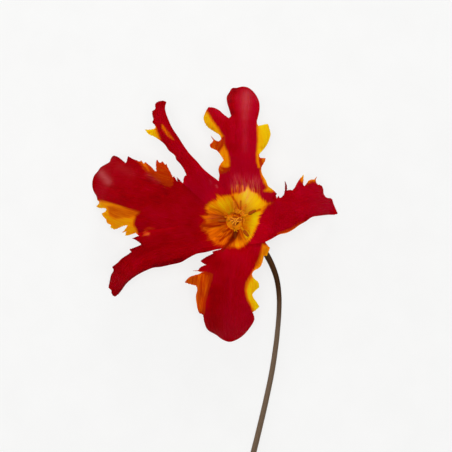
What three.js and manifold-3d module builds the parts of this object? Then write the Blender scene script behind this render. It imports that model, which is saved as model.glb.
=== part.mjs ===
// A cut parrot tulip laid down face up.
//
// Six fringed tepals spread flat around a pistil and six stamens. The stem bends under the
// flower and lies along the surface, and the tips of three tepals droop down to it.
// Millimetres, +Z up. The surface is z = 0 and the origin is the middle of the footprint.

import * as THREE from 'three';
import { mergeVertices } from 'three/addons/utils/BufferGeometryUtils.js';
import Module from 'manifold-3d';

const wasm = await Module();
wasm.setup();

// ---------------------------------------------------------------- driving dimensions

// The plan: a square drawing of the open flower from above, x to the right and y down.
const GRID_STEP = 0.56;            // mm per plan step, at the height of the open face
const PLAN_MIDDLE = [226, 226];    // plan point straight below the eye
const FLOWER_AXIS = [235.6, 220.6];
const EYE_HEIGHT = 700;            // mm; the plan is a perspective from this height
const FACE_HEIGHT = 34;            // mm; height at which GRID_STEP is true
const FOOTPRINT_CENTRE = [-6.7, -38.4];   // mm from the eye's foot to the origin

// Tepals
const TEPAL_THICKNESS = 0.6;
const BOWL_RADIUS = 5.4;           // where the inner tepals leave the receptacle
const BOWL_FLOOR = 23.6;           // their height there
const BOWL_RISE = 14.4;            // from there up to the open face
const BOWL_REACH = 8;              // run over which most of that rise happens
const FREE_FROM = 20;              // radius at which a tepal starts to follow its own arch
const FREE_BY = 36;                // radius by which it follows nothing else
const OUTER_SET_BACK = 1.2;        // the outer tepals start this much further out ...
const OUTER_DROP = 1.0;            // ... and this much lower
const BLANK_STEPS = [21, 8];       // facets of a tepal's blank along and across
const BLANK_CROWDING = 1.3;        // above 1, the facets along are shorter near the base
const BLANK_START = 0.4;           // share of its base radius at which the blank starts
const BLANK_END = 1.05;            // the blank runs this far past the midrib's length
const BASE_SEGMENTS = 48;          // of the round cut at a tepal's base

// Receptacle and stem
const RECEPTACLE_TOP = 22.9;
const STEM_RADII = [1.8, 1.85, 1.85, 1.55, 1.42, 1.52, 1.58, 1.63, 1.68, 1.74, 1.8];   // equal steps
const STEM_STEPS = [44, 12];       // facets along and around

// Pistil
const OVARY_FOOT = RECEPTACLE_TOP + 0.3;
const STYLE_TOP = 36.8;
const STIGMA_HEIGHT = 37.8;
const STIGMA_OFFSET = 1.9;
const STIGMA_LOBE = [1.85, 1.5, 1.35];
const STIGMA_LOBE_ANGLES = [165, 15, 270];

// Stamens
const FILAMENT_FOOT_RADIUS = 4.0;
const FILAMENT_RADII = [0.75, 0.7, 0.4];    // at equal steps from the foot
const ANTHER_LENGTH = 6.4;
const ANTHER_RADIUS = 0.95;
const ANTHER_GAP = 0.4;

// Each stamen: direction of its foot and of its anther, and the anther's middle and lean.
const STAMENS = [
  { foot: 30, anther: 27, radius: 10.4, height: 34.5, lean: 46 },
  { foot: 75, anther: 57, radius: 9.0, height: 33.8, lean: 38 },
  { foot: 120, anther: 96, radius: 8.8, height: 33.4, lean: 40 },
  { foot: 180, anther: 180, radius: 7.6, height: 32.8, lean: 46 },
  { foot: 250, anther: 268, radius: 8.0, height: 33.0, lean: 36 },
  { foot: 310, anther: 309, radius: 9.2, height: 33.6, lean: 42 },
];

// ---------------------------------------------------------------- the tepals' drawings

// midrib: plan points from the flower's axis to the tip.
// reach: how far the blank goes to the left and right of the midrib, in plan steps.
// arch: the midrib's height at equal steps from the axis to the tip.
// halfWidth: the width that crown, tilt and fold are given for.
// crown: how far the margins drop below the midrib; tilt: rise of the left margin.
// fold: depth of the crease along the midrib; ruffle: height and count of margin waves.
const TEPALS = [
  {
    name: 'tepal_top', outer: true,
    midrib: [FLOWER_AXIS, [242, 195], [242.5, 155], [243, 120], [243, 87]],
    reach: [44, 40],
    arch: [36.5, 36.5, 36.7, 37, 36.8, 35, 29.6, 18.3, 0],
    halfWidth: 15, crown: 4.5, tilt: 0, fold: 0, ruffle: [1.3, 4, 0.4],
    outline: [
      [232, 212], [227, 203], [222, 192], [219, 180.5], [219.7, 175.3], [218.7, 169.4], [220.4, 164.8],
      [224, 160.2], [221.7, 156.2], [217.1, 150.3], [210.5, 146.7], [210.2, 145.1], [213.1, 142.8],
      [213.5, 140.5], [210.8, 135.9], [215.8, 140.8], [219, 141.8], [221.7, 139.2], [220.4, 135.5],
      [214.5, 131.3], [207.9, 126.7], [203.9, 118.8], [205.9, 112.2], [208.5, 107.6], [213.1, 107.3],
      [218.4, 110.2], [223.6, 114.8], [228.9, 118.5], [231.5, 116.2], [229.6, 109.6], [227.3, 101.7],
      [226.9, 96.5], [229.6, 91.9], [232.2, 88.6], [236.8, 88.2], [242, 86.9], [247.3, 87.6],
      [251.9, 90.2], [256.5, 95.8], [258.8, 102.4], [259.1, 109.6], [257.8, 116.2], [256.5, 122.7],
      [257.8, 126.7], [261.7, 125.7], [265.7, 124], [268.3, 124], [269, 128], [270.6, 133.9],
      [269, 139.2], [266.3, 145.1], [262.4, 150.3], [258.8, 154.9], [259.8, 158.2], [265.4, 158.5],
      [263.4, 161.5], [260.8, 166.1], [260.4, 170], [262.4, 175.3], [265.7, 180.5], [267.6, 186.4],
      [272.4, 189.4], [276.4, 194.2], [273.5, 196], [275, 199.5], [271, 206], [263, 212], [252, 215.5],
      [243, 216],
    ],
  },
  {
    name: 'tepal_upper_left', outer: false,
    midrib: [FLOWER_AXIS, [213, 196], [194, 171], [176, 145], [164, 120], [160.5, 102]],
    reach: [30, 17],
    arch: [38, 38, 38, 38.4, 38.6, 38.2, 36.6, 33.8, 30],
    halfWidth: 6, crown: 2.0, tilt: 1.2, fold: 0, ruffle: [0.5, 5, 1.2],
    outline: [
      [227.5, 217], [219, 212.5], [207, 204], [193, 192], [183.5, 183.4], [184.9, 176.4], [186.9, 175.4],
      [183.5, 168], [180.2, 163.3], [176.5, 159.3], [175.5, 155.9], [168.8, 149.9], [165.4, 144.6],
      [160.8, 140.5], [154.7, 136.5], [148.7, 133.8], [145, 129.5], [150, 129.5], [155.4, 128.1],
      [156.1, 125.8], [153.1, 122.1], [154.1, 119.8], [153.1, 115.8], [152.4, 111.4], [155.4, 109.1],
      [155.7, 103.7], [158.1, 102], [162.8, 101], [166.1, 102], [164.8, 107.1], [165.1, 111.1],
      [168.1, 119.8], [172.1, 128.5], [177.5, 136.5], [183.5, 145.9], [189.6, 153.9], [196.9, 161.3],
      [203.6, 168.7], [211, 174.7], [218.7, 180], [224, 188], [230, 200], [234.5, 210.5],
    ],
  },
  {
    name: 'tepal_left', outer: true,
    midrib: [FLOWER_AXIS, [205, 215], [170, 204], [135, 193], [92, 184]],
    reach: [46, 44],
    arch: [36.4, 36.4, 36.6, 36.9, 36.8, 35.6, 31.2, 20, -0.1],
    halfWidth: 19, crown: 4, tilt: 0, fold: 0, ruffle: [1.4, 4, 2.0],
    outline: [
      [228, 212.5], [214, 202], [200, 193], [187.5, 186], [183.5, 183.4], [181.8, 182.1], [177.3, 179.3],
      [176.1, 181.3], [174.1, 177.6], [172.7, 177.6], [169.2, 170.7], [166.3, 164.9], [162.9, 162.3],
      [161.2, 163.5], [157.7, 160.9], [156, 163.8], [156.9, 171.2], [154.3, 171.2], [150.3, 167.8],
      [145.1, 163.2], [143.4, 164.4], [141.1, 160.6], [137.1, 160.9], [132.5, 159.2], [128.5, 156.9],
      [127.3, 163.2], [125.6, 163.8], [121, 160.3], [117, 156.9], [113.5, 155.7], [111.2, 158],
      [110.1, 162.1], [105.5, 164.9], [100.9, 167.8], [98, 171.8], [94.6, 175.8], [92.9, 181],
      [93.2, 186.7], [95.2, 191.9], [96.9, 195.9], [98, 199.9], [99.8, 201.7], [99.2, 204],
      [96.9, 206.3], [98.6, 207.4], [105.5, 208], [107.2, 209.1], [105.5, 212], [102.1, 213.7],
      [104.4, 216], [107.2, 218.9], [107.8, 222.3], [111.8, 224.6], [111.2, 226.9], [114.7, 228.4],
      [118.7, 227.5], [124.4, 225.2], [128.5, 224.6], [125.6, 229.2], [122.1, 232.7], [126.5, 231.2],
      [125.6, 235.5], [130.2, 233.8], [135.9, 232.1], [138.2, 234.4], [143, 234.5], [152, 233],
      [170, 232.5], [190, 232], [208, 230], [225.5, 225],
    ],
  },
  {
    name: 'tepal_lower_left', outer: false,
    midrib: [FLOWER_AXIS, [210, 236], [180, 244.5], [150, 251], [128, 268], [114, 294]],
    reach: [26, 28],
    arch: [38, 38, 38, 38.6, 38.6, 37, 31.5, 19.5, 2.5],
    halfWidth: 11, crown: 1.6, tilt: -2.4, fold: 0, ruffle: [0.7, 4, 0.9],
    outline: [
      [227.5, 218], [215, 219], [200, 222], [180, 226], [160, 229.5], [148, 231], [141, 232.5],
      [137.7, 234.6], [140.3, 235.9], [133, 238.3], [137.7, 240.2], [142, 244.5], [136.9, 247.1],
      [130, 249.7], [132.1, 251.9], [127.4, 255.3], [122.2, 258.7], [117.9, 263], [112.7, 266.9],
      [114, 269.9], [111.5, 275.1], [110.2, 281.1], [108.9, 287.6], [111.9, 289.7], [112.7, 294],
      [114.9, 296.2], [117.9, 294], [121.4, 289.7], [125.7, 283.7], [130.8, 279], [137.7, 274.2],
      [145.5, 269.9], [153.2, 266.9], [160.1, 266.5], [170.4, 264.3], [180.8, 261.8], [187.7, 257.9],
      [196.3, 253.6], [205.7, 251.9], [212.6, 250.1], [220.5, 248.5], [227.5, 242], [232.5, 235],
      [233.5, 229],
    ],
  },
  {
    name: 'tepal_bottom', outer: true,
    midrib: [FLOWER_AXIS, [233, 250], [228.5, 280], [228.5, 310], [229, 341.5]],
    reach: [40, 46],
    arch: [36.5, 36.5, 36.7, 37, 36.6, 34.2, 28.6, 17.3, 0],
    halfWidth: 16, crown: 4, tilt: 0, fold: 1.6, ruffle: [1.2, 4, 2.6],
    outline: [
      [231, 229], [228, 236], [224, 243], [219.8, 248.4], [212.9, 251.5], [213.7, 253.8], [206.8, 257.2],
      [200.7, 261], [203.7, 263], [206.4, 264.9], [199.9, 268.3], [198.4, 270.6], [203.7, 271.8],
      [199.9, 274.1], [189.9, 277.5], [185, 282.1], [191.5, 284], [196.8, 284.8], [198.8, 289],
      [196.5, 295.9], [197.2, 303.5], [199.9, 312.7], [203, 314.2], [204.9, 320.4], [208.3, 328.8],
      [216, 334.1], [223.6, 339.5], [229.7, 341.4], [235.9, 339.5], [242.8, 334.9], [248.9, 328],
      [253.5, 320.4], [253.9, 318.1], [251.9, 311.9], [255, 310], [258.8, 306.6], [256.5, 302.8],
      [252.7, 297.4], [251.9, 294.3], [254.2, 290.5], [258.4, 286.7], [257.7, 282.9], [253.5, 279],
      [251.6, 275.2], [252.7, 271.4], [259.6, 266.8], [261.9, 262.2], [263.4, 255.3], [266.5, 255.3],
      [269.2, 248.4], [265.7, 244.6], [263, 240], [254, 234], [243, 229],
    ],
  },
  {
    name: 'tepal_right', outer: false,
    midrib: [FLOWER_AXIS, [252, 226], [270, 221], [290, 211], [312, 204], [334, 204]],
    reach: [38, 32],
    arch: [38, 38, 38, 38.4, 39.2, 38, 33, 22, 6],
    halfWidth: 11, crown: 1.5, tilt: -3.5, fold: 0, ruffle: [0.9, 4, 0.2],
    outline: [
      [237, 229], [241.5, 238], [247.5, 243], [256, 243.5], [265.1, 241.5], [272.4, 237.9],
      [279.1, 233.6], [286.4, 232.1], [293.6, 228.8], [298.5, 225.1], [305.7, 220.9], [311.8, 216.7],
      [319.7, 214.8], [327.6, 214.2], [334.8, 214.8], [337.2, 213.3], [335.4, 209.4], [333, 203.9],
      [331.2, 199.1], [326.3, 197.9], [323.3, 194.2], [322.4, 188.8], [320.9, 186.1], [317.3, 185.1],
      [315.1, 182.1], [316.3, 177.6], [313.6, 180.9], [310, 181.5], [307, 184.5], [304.5, 187.9],
      [302.1, 185.1], [302.4, 180.9], [303.3, 175.5], [299.7, 179.1], [297.3, 183.9], [294.8, 188.2],
      [292.4, 190.9], [289.4, 190.3], [286.7, 190.9], [286.7, 185.8], [284.5, 181.5], [285.1, 185.1],
      [285.4, 190.6], [284.8, 193.6], [282.7, 196.7], [279.7, 198.5], [278.5, 195.8], [277, 198.8],
      [275.4, 199.7], [271.7, 203], [265, 206], [256, 209], [247, 214.5],
    ],
  },
];

// The stem's middle: plan point and height, from inside the receptacle to the cut end. Where the
// height is less than the stem's radius, the stem lies on the surface.
const STEM_ROUTE = [
  [235.6, 220.6, 21.5], [235.6, 220.6, 18.2], [236.4, 221.3, 13.2], [239.6, 224.2, 8.0],
  [246.5, 230.5, 4.2], [256, 240.5, 2.5], [265.5, 253, 1.8], [270.5, 262, 1.5], [274, 270.2, 1],
  [277, 280, 1], [279, 295, 1], [279.1, 310, 1], [277.6, 330, 1], [275.6, 347.5, 1], [272, 371, 1],
  [266, 400, 1], [258.5, 432, 1], [250.5, 464, 1], [243, 495, 1],
];

// ---------------------------------------------------------------- colours

const TEPAL_RED = 0xa00010;
const STEM_OLIVE = 0x4b3a1c;
const PISTIL_YELLOW = 0xd9a441;
const FILAMENT_OCHRE = 0xc98a1a;
const ANTHER_BROWN = 0x54382e;

const matte = (color, roughness) => new THREE.MeshStandardMaterial({ color, roughness, metalness: 0 });

// ---------------------------------------------------------------- plan and height

const degrees = THREE.MathUtils.degToRad;

/** A plan point as millimetres from the eye's foot, y up. */
function planPoint([x, y]) {
  return new THREE.Vector2(x - PLAN_MIDDLE[0], PLAN_MIDDLE[1] - y).multiplyScalar(GRID_STEP);
}

const axisPoint = planPoint(FLOWER_AXIS);

/** The place of a plan position (mm) at height z: what lies lower spreads outwards. */
function place(x, y, z) {
  const spread = (EYE_HEIGHT - z) / (EYE_HEIGHT - FACE_HEIGHT);
  return new THREE.Vector3(x * spread - FOOTPRINT_CENTRE[0], y * spread - FOOTPRINT_CENTRE[1], z);
}

/** Height of the bowl that all tepals share near the receptacle. */
function bowl(radius) {
  return BOWL_FLOOR + BOWL_RISE * (1 - Math.exp((BOWL_RADIUS - radius) / BOWL_REACH));
}

/** A smooth curve through values at equal steps: its y at a share of the way. */
function evenCurve(values) {
  return new THREE.SplineCurve(values.map((value, step) => new THREE.Vector2(step, value)));
}

/** A tepal's midrib as a plan curve and its arch as a curve of height. */
function tepalCurves(tepal) {
  return { midrib: new THREE.SplineCurve(tepal.midrib.map(planPoint)), arch: evenCurve(tepal.arch) };
}

/** Plan position (mm) at a share of the midrib's length and an offset to its left. */
function blankPoint(midrib, share, offset) {
  const onRib = midrib.getPointAt(Math.min(share, 1));
  const along = midrib.getTangentAt(Math.min(share, 1));
  const past = Math.max(share - 1, 0) * midrib.getLength();
  return new THREE.Vector2(
    onRib.x + along.x * past - along.y * offset,
    onRib.y + along.y * past + along.x * offset,
  );
}

/** Middle surface of a tepal: a point in plan (mm) with its height. */
function surfacePoint(tepal, curves, share, offset) {
  const plan = blankPoint(curves.midrib, share, offset);
  const radius = plan.distanceTo(axisPoint);
  const side = offset / tepal.halfWidth;
  const [waveHeight, waves, phase] = tepal.ruffle;
  const wave = waveHeight * side * side * Math.sin(2 * Math.PI * waves * share + phase + 1.3 * Math.sign(side));
  const arch = curves.arch.getPoint(Math.min(share, 1)).y;
  const lifted = THREE.MathUtils.smoothstep(share, 0.38, 0.66) * (1 - 0.6 * THREE.MathUtils.smoothstep(share, 0.75, 1));
  const section = tepal.tilt * side - tepal.crown * side * side - tepal.fold * Math.abs(side) + wave;
  const setBack = tepal.outer ? OUTER_SET_BACK : 0;
  const shared = bowl(radius - setBack) - (tepal.outer ? OUTER_DROP : 0);
  const own = arch + lifted * section;
  const free = THREE.MathUtils.smoothstep(radius, FREE_FROM, FREE_BY);
  return new THREE.Vector3(plan.x, plan.y, shared + (own - shared) * free);
}

// ---------------------------------------------------------------- solids

/** A three.js geometry as a manifold solid. */
function solid(geometry) {
  const bare = geometry.clone();
  bare.deleteAttribute('normal');
  bare.deleteAttribute('uv');
  const merged = mergeVertices(bare, 1e-4);
  return new wasm.Manifold(new wasm.Mesh({
    numProp: 3,
    vertProperties: new Float32Array(merged.attributes.position.array),
    triVerts: new Uint32Array(merged.index.array),
  }));
}

/** A manifold solid as a three.js geometry. */
function geometryOf(manifold) {
  const mesh = manifold.getMesh();
  const geometry = new THREE.BufferGeometry();
  geometry.setAttribute('position', new THREE.BufferAttribute(mesh.vertProperties, 3));
  geometry.setIndex(new THREE.BufferAttribute(mesh.triVerts, 1));
  return geometry;
}

/** Moves every vertex of a geometry to where the function puts it. */
function bend(geometry, move) {
  const position = geometry.attributes.position;
  const vertex = new THREE.Vector3();
  for (let i = 0; i < position.count; i += 1) {
    vertex.fromBufferAttribute(position, i);
    position.setXYZ(i, ...move(vertex).toArray());
  }
  return geometry;
}

/** A rod of circular section along a curve, closed at both ends; its radii are at equal steps. */
function rod(curve, radii, [lengthSteps, roundSteps], sideways) {
  const blank = new THREE.CylinderGeometry(1, 1, 1, roundSteps, lengthSteps);
  const profile = evenCurve(radii);
  return bend(blank, (vertex) => {
    const share = THREE.MathUtils.clamp(vertex.y + 0.5, 0, 1);
    const along = curve.getTangentAt(share);
    const across = sideways.clone().addScaledVector(along, -sideways.dot(along)).normalize();
    const third = new THREE.Vector3().crossVectors(across, along);
    const radius = profile.getPoint(share).y;
    const middle = curve.getPointAt(share);
    middle.z = Math.max(middle.z, radius);
    return middle
      .addScaledVector(across, vertex.x * radius)
      .addScaledVector(third, vertex.z * radius);
  });
}

/** One tepal: a blank bent to its arch, trimmed to its outline, then spread in perspective. */
function tepalGeometry(tepal) {
  const curves = tepalCurves(tepal);
  const length = curves.midrib.getLength();
  const baseRadius = BOWL_RADIUS + (tepal.outer ? OUTER_SET_BACK : 0);
  const start = BLANK_START * baseRadius / length;
  const [left, right] = tepal.reach.map((steps) => steps * GRID_STEP);
  const nudge = 0.2;
  const blank = new THREE.BoxGeometry(1, 1, 1, BLANK_STEPS[0], BLANK_STEPS[1], 1);
  bend(blank, (vertex) => {
    const share = THREE.MathUtils.lerp(start, BLANK_END, (vertex.x + 0.5) ** BLANK_CROWDING);
    const offset = THREE.MathUtils.lerp(-right, left, vertex.y + 0.5);
    const middle = surfacePoint(tepal, curves, share, offset);
    const ahead = surfacePoint(tepal, curves, share + nudge / length, offset).sub(middle);
    const aside = surfacePoint(tepal, curves, share, offset + nudge).sub(middle);
    const upwards = ahead.cross(aside).normalize();
    return middle.addScaledVector(upwards, vertex.z * TEPAL_THICKNESS);
  });
  const outline = new THREE.Shape(tepal.outline.map(planPoint));
  const cutter = new THREE.ExtrudeGeometry(outline, { depth: 2 * FACE_HEIGHT, bevelEnabled: false });
  const heart = new THREE.CylinderGeometry(baseRadius, baseRadius, 4 * FACE_HEIGHT, BASE_SEGMENTS);
  heart.rotateX(Math.PI / 2).translate(axisPoint.x, axisPoint.y, 0);
  const trimmed = geometryOf(solid(blank).intersect(solid(cutter)).subtract(solid(heart)));
  return bend(trimmed, (vertex) => place(vertex.x, vertex.y, vertex.z));
}

/** A point over the flower's base, by direction (degrees), radius and height. */
function aroundAxis(angle, radius, z) {
  return place(axisPoint.x, axisPoint.y, z)
    .add(new THREE.Vector3(radius * Math.cos(degrees(angle)), radius * Math.sin(degrees(angle)), 0));
}

/** A lathe profile of [radius, height] pairs turned about the flower's axis. */
function turned(profile, segments) {
  const geometry = new THREE.LatheGeometry(profile.map(([r, z]) => new THREE.Vector2(r, z)), segments);
  return bend(geometry, (vertex) => aroundAxis(0, 0, vertex.y).add(new THREE.Vector3(vertex.x, -vertex.z, 0)));
}

/** The stem with the receptacle that ends it, one grown piece. */
function stemGeometry() {
  const route = STEM_ROUTE.map(([x, y, z]) => {
    const plan = planPoint([x, y]);
    return place(plan.x, plan.y, z);
  });
  const curve = new THREE.CatmullRomCurve3(route, false, 'centripetal');
  const sideways = new THREE.Vector3(1, 1, 0).normalize();
  const stem = rod(curve, STEM_RADII, STEM_STEPS, sideways);
  const receptacle = turned([
    [0, 18], [1.75, 18], [2.3, 19.2], [3.7, 20.2], [5.6, 20.8], [7.3, 21],
    [7.3, 21.3], [6.2, 22.1], [5, RECEPTACLE_TOP], [0, RECEPTACLE_TOP],
  ], 16);
  return geometryOf(solid(stem).add(solid(receptacle)));
}

/** The pistil: a three-sided ovary under a stigma of three lobes, one grown piece. */
function pistilGeometry() {
  const ovary = turned([
    [0, OVARY_FOOT], [2.1, OVARY_FOOT], [2.6, 26], [2.6, 30.6], [2.2, 34.6], [1.7, STYLE_TOP],
    [0, STYLE_TOP + 0.6],
  ], 12);
  return geometryOf(STIGMA_LOBE_ANGLES.reduce((whole, angle) => {
    const lobe = new THREE.SphereGeometry(1, 10, 8);
    lobe.scale(...STIGMA_LOBE);
    lobe.rotateZ(degrees(angle));
    const middle = aroundAxis(angle, STIGMA_OFFSET, STIGMA_HEIGHT);
    lobe.translate(middle.x, middle.y, middle.z);
    return whole.add(solid(lobe));
  }, solid(ovary)));
}

/** Direction in which an anther points, up and out from its filament. */
function antherDirection(stamen) {
  const lean = degrees(stamen.lean);
  const around = degrees(stamen.anther);
  return new THREE.Vector3(
    Math.sin(lean) * Math.cos(around),
    Math.sin(lean) * Math.sin(around),
    Math.cos(lean),
  );
}

/** An anther: a slim capsule standing on the tip of its filament. */
function antherGeometry(stamen) {
  const geometry = new THREE.CapsuleGeometry(ANTHER_RADIUS, ANTHER_LENGTH - 2 * ANTHER_RADIUS, 3, 8);
  const upright = new THREE.Vector3(0, 1, 0);
  geometry.applyQuaternion(new THREE.Quaternion().setFromUnitVectors(upright, antherDirection(stamen)));
  const middle = aroundAxis(stamen.anther, stamen.radius, stamen.height);
  return geometry.translate(middle.x, middle.y, middle.z);
}

/** A filament: a tapering rod from the receptacle to just short of its anther. */
function filamentGeometry(stamen) {
  const direction = antherDirection(stamen);
  const tip = aroundAxis(stamen.anther, stamen.radius, stamen.height)
    .addScaledVector(direction, -(ANTHER_LENGTH / 2 + ANTHER_GAP));
  const foot = aroundAxis(stamen.foot, FILAMENT_FOOT_RADIUS, RECEPTACLE_TOP + 0.3);
  const curve = new THREE.QuadraticBezierCurve3(
    foot,
    foot.clone().setZ(THREE.MathUtils.lerp(foot.z, tip.z, 0.6)),
    tip,
  );
  const sideways = new THREE.Vector3(-Math.sin(degrees(stamen.foot)), Math.cos(degrees(stamen.foot)), 0);
  return rod(curve, FILAMENT_RADII, [5, 6], sideways);
}

// ---------------------------------------------------------------- the flower

const flower = new THREE.Group();

/** Adds one named piece to the flower. */
function addPiece(name, geometry, material) {
  const mesh = new THREE.Mesh(geometry, material);
  mesh.name = name;
  flower.add(mesh);
}

addPiece('stem', stemGeometry(), matte(STEM_OLIVE, 0.6));
addPiece('pistil', pistilGeometry(), matte(PISTIL_YELLOW, 0.6));
TEPALS.forEach((tepal) => addPiece(tepal.name, tepalGeometry(tepal), matte(TEPAL_RED, 0.5)));
STAMENS.forEach((stamen, i) => {
  addPiece(`filament_${i + 1}`, filamentGeometry(stamen), matte(FILAMENT_OCHRE, 0.6));
  addPiece(`anther_${i + 1}`, antherGeometry(stamen), matte(ANTHER_BROWN, 0.8));
});

export default flower;
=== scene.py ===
"""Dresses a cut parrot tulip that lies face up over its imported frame.

Six fringed tepals lie open around a pistil and six stamens. The stem bends under the flower
and runs along the surface. Drawings are in plan steps, made sizes in millimetres, and the
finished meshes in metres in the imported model's frame.
"""

import sys

import logging
import math
from collections.abc import Sequence
from dataclasses import dataclass
from enum import Enum

import bmesh
import bpy
import numpy as np
from mathutils import Euler, Matrix, Vector
from mathutils.geometry import delaunay_2d_cdt

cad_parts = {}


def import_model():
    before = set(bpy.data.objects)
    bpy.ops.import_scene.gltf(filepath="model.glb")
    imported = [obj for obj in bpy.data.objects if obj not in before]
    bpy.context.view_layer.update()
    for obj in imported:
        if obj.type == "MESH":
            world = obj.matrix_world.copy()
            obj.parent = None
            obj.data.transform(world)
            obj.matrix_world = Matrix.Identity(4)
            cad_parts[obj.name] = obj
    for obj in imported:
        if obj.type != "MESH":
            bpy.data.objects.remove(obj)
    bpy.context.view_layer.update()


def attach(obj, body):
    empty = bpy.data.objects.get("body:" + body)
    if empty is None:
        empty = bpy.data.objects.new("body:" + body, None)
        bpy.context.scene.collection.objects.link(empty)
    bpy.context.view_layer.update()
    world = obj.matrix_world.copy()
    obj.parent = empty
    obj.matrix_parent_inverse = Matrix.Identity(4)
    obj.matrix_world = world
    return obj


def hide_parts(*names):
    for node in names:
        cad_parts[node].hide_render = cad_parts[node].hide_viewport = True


Rows = np.ndarray
Piece = bpy.types.Object
Material = bpy.types.Material
Socket = bpy.types.NodeSocket
Point = tuple[float, float]  # of the plan
Pair = tuple[float, float]
Triple = tuple[float, float, float]
Colour = tuple[float, float, float, float]

BODY = "root"
MM = 0.001
TINY = 1e-9  # keeps a length of nothing from being divided by

# The plan: a square drawing of the open flower from above, x to the right and y down.
GRID_STEP = 0.56  # mm per plan step, at the height of the open face
PLAN_SIDE = 452  # plan steps along the square's side
FLOWER_AXIS = (235.6, 220.6)
EYE_HEIGHT = 700.0  # mm; the plan is a perspective from this height
FACE_HEIGHT = 34.0  # mm; height at which GRID_STEP is true
FOOTPRINT_CENTRE = (-6.7, -38.4)  # mm from the eye's foot to the origin

BOWL_RADIUS = 5.4  # where the inner tepals leave the receptacle
BOWL_FLOOR = 23.6  # their height there
BOWL_RISE = 14.4  # from there up to the open face
BOWL_REACH = 8.0  # run over which most of that rise happens
FREE_FROM = 20.0  # radius at which a tepal starts to follow its own arch
FREE_BY = 36.0  # radius by which it follows nothing else
RECEPTACLE_TOP = 22.9
CLEARANCE = 0.02  # between a tepal and the surface that it rests on

logger = logging.getLogger("parrot_tulip")


class Whorl(Enum):
    """A ring of three tepals: how far it starts outside and below the inner ring, in mm."""

    INNER = (0.0, 0.0)
    OUTER = (1.2, 1.0)


class Ripeness(Enum):
    """How far an anther has ripened."""

    YOUNG = "golden"
    RIPE = "brown"
    SPENT = "dark"


# ---- plan, height and curves


def plan_points(points: Sequence[Point]) -> Rows:
    """Plan points as millimetres from the eye's foot, y up.

    Args:
        points: Points of the drawing, in plan steps.

    Returns:
        One row of x and y for each point.
    """
    steps = np.array(points, float).reshape(-1, 2)
    middle = PLAN_SIDE / 2
    return np.stack([steps[:, 0] - middle, middle - steps[:, 1]], 1) * GRID_STEP


AXIS_POINT = plan_points([FLOWER_AXIS])[0]


def place(plan: Rows, height: Rows) -> Rows:
    """Rows of x, y and z in mm for plan positions at their heights: what lies lower spreads outwards."""
    spread = ((EYE_HEIGHT - height) / (EYE_HEIGHT - FACE_HEIGHT))[:, None]
    return np.column_stack([plan * spread - np.array(FOOTPRINT_CENTRE), height])


def around_axis(angle: float, radius: float, height: float) -> Rows:
    """A point around the flower's axis, from its direction in degrees, radius and height in mm."""
    foot = place(AXIS_POINT[None, :], np.array([height]))[0]
    return foot + radius * towards(angle)


def towards(angle: float) -> Rows:
    """A level step of length 1 in a direction given in degrees."""
    turn = math.radians(angle)
    return np.array([math.cos(turn), math.sin(turn), 0.0])


def left_of(way: Rows) -> Rows:
    """A level step at right angles to another one."""
    return np.array([-way[1], way[0], 0.0])


def beside(values: Rows) -> Rows:
    """The mean of each value's two neighbours around a ring."""
    return (np.roll(values, 1) + np.roll(values, -1)) / 2


def smoothstep(value: Rows, low: float, high: float) -> Rows:
    """A smooth step from 0 at low to 1 at high."""
    share = np.clip((value - low) / (high - low), 0.0, 1.0)
    return share * share * (3.0 - 2.0 * share)


def wrapped(turn: Rows) -> Rows:
    """Angles in radians, brought to within half a turn of 0."""
    return (turn + math.pi) % math.tau - math.pi


def travelled(route: Rows) -> Rows:
    """How far along a route each of its points lies."""
    return np.concatenate([[0], np.cumsum(np.linalg.norm(np.diff(route, axis=0), axis=1))])


def read_along(route: Rows, wanted: Rows) -> Rows:
    """Points of a route at the given lengths along it."""
    along = travelled(route)
    return np.stack([np.interp(wanted, along, column) for column in route.T], 1)


def eased(start: Rows, end: Rows, leave: Rows, arrive: Rows, weight: Rows) -> Rows:
    """Points of a cubic curve.

    Args:
        start: Where it starts.
        end: Where it ends.
        leave: Its slope at the start.
        arrive: Its slope at the end.
        weight: How far along to read it, a column from 0 to 1.

    Returns:
        One row for each weight.
    """
    cubic = 2 * (start - end) + leave + arrive
    square = 3 * (end - start) - 2 * leave - arrive
    return ((cubic * weight + square) * weight + leave) * weight + start


def spline(values: Rows, share: Rows) -> Rows:
    """A smooth even curve through rows of values.

    Args:
        values: Rows to pass through, at equal steps.
        share: Where to read the curve, from 0 to 1.

    Returns:
        One row for each share.
    """
    last = len(values) - 1
    at = np.clip(share, 0.0, 1.0) * last
    index = np.minimum(at.astype(int), last - 1)
    before, start = values[np.maximum(index - 1, 0)], values[index]
    end, after = values[index + 1], values[np.minimum(index + 2, last)]
    return eased(start, end, (end - before) / 2, (after - start) / 2, (at - index)[:, None])


def even_curve(values: Sequence[float], share: Rows) -> Rows:
    """A smooth curve through single values at equal steps."""
    return spline(np.array(values, float)[:, None], share)[:, 0]


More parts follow.
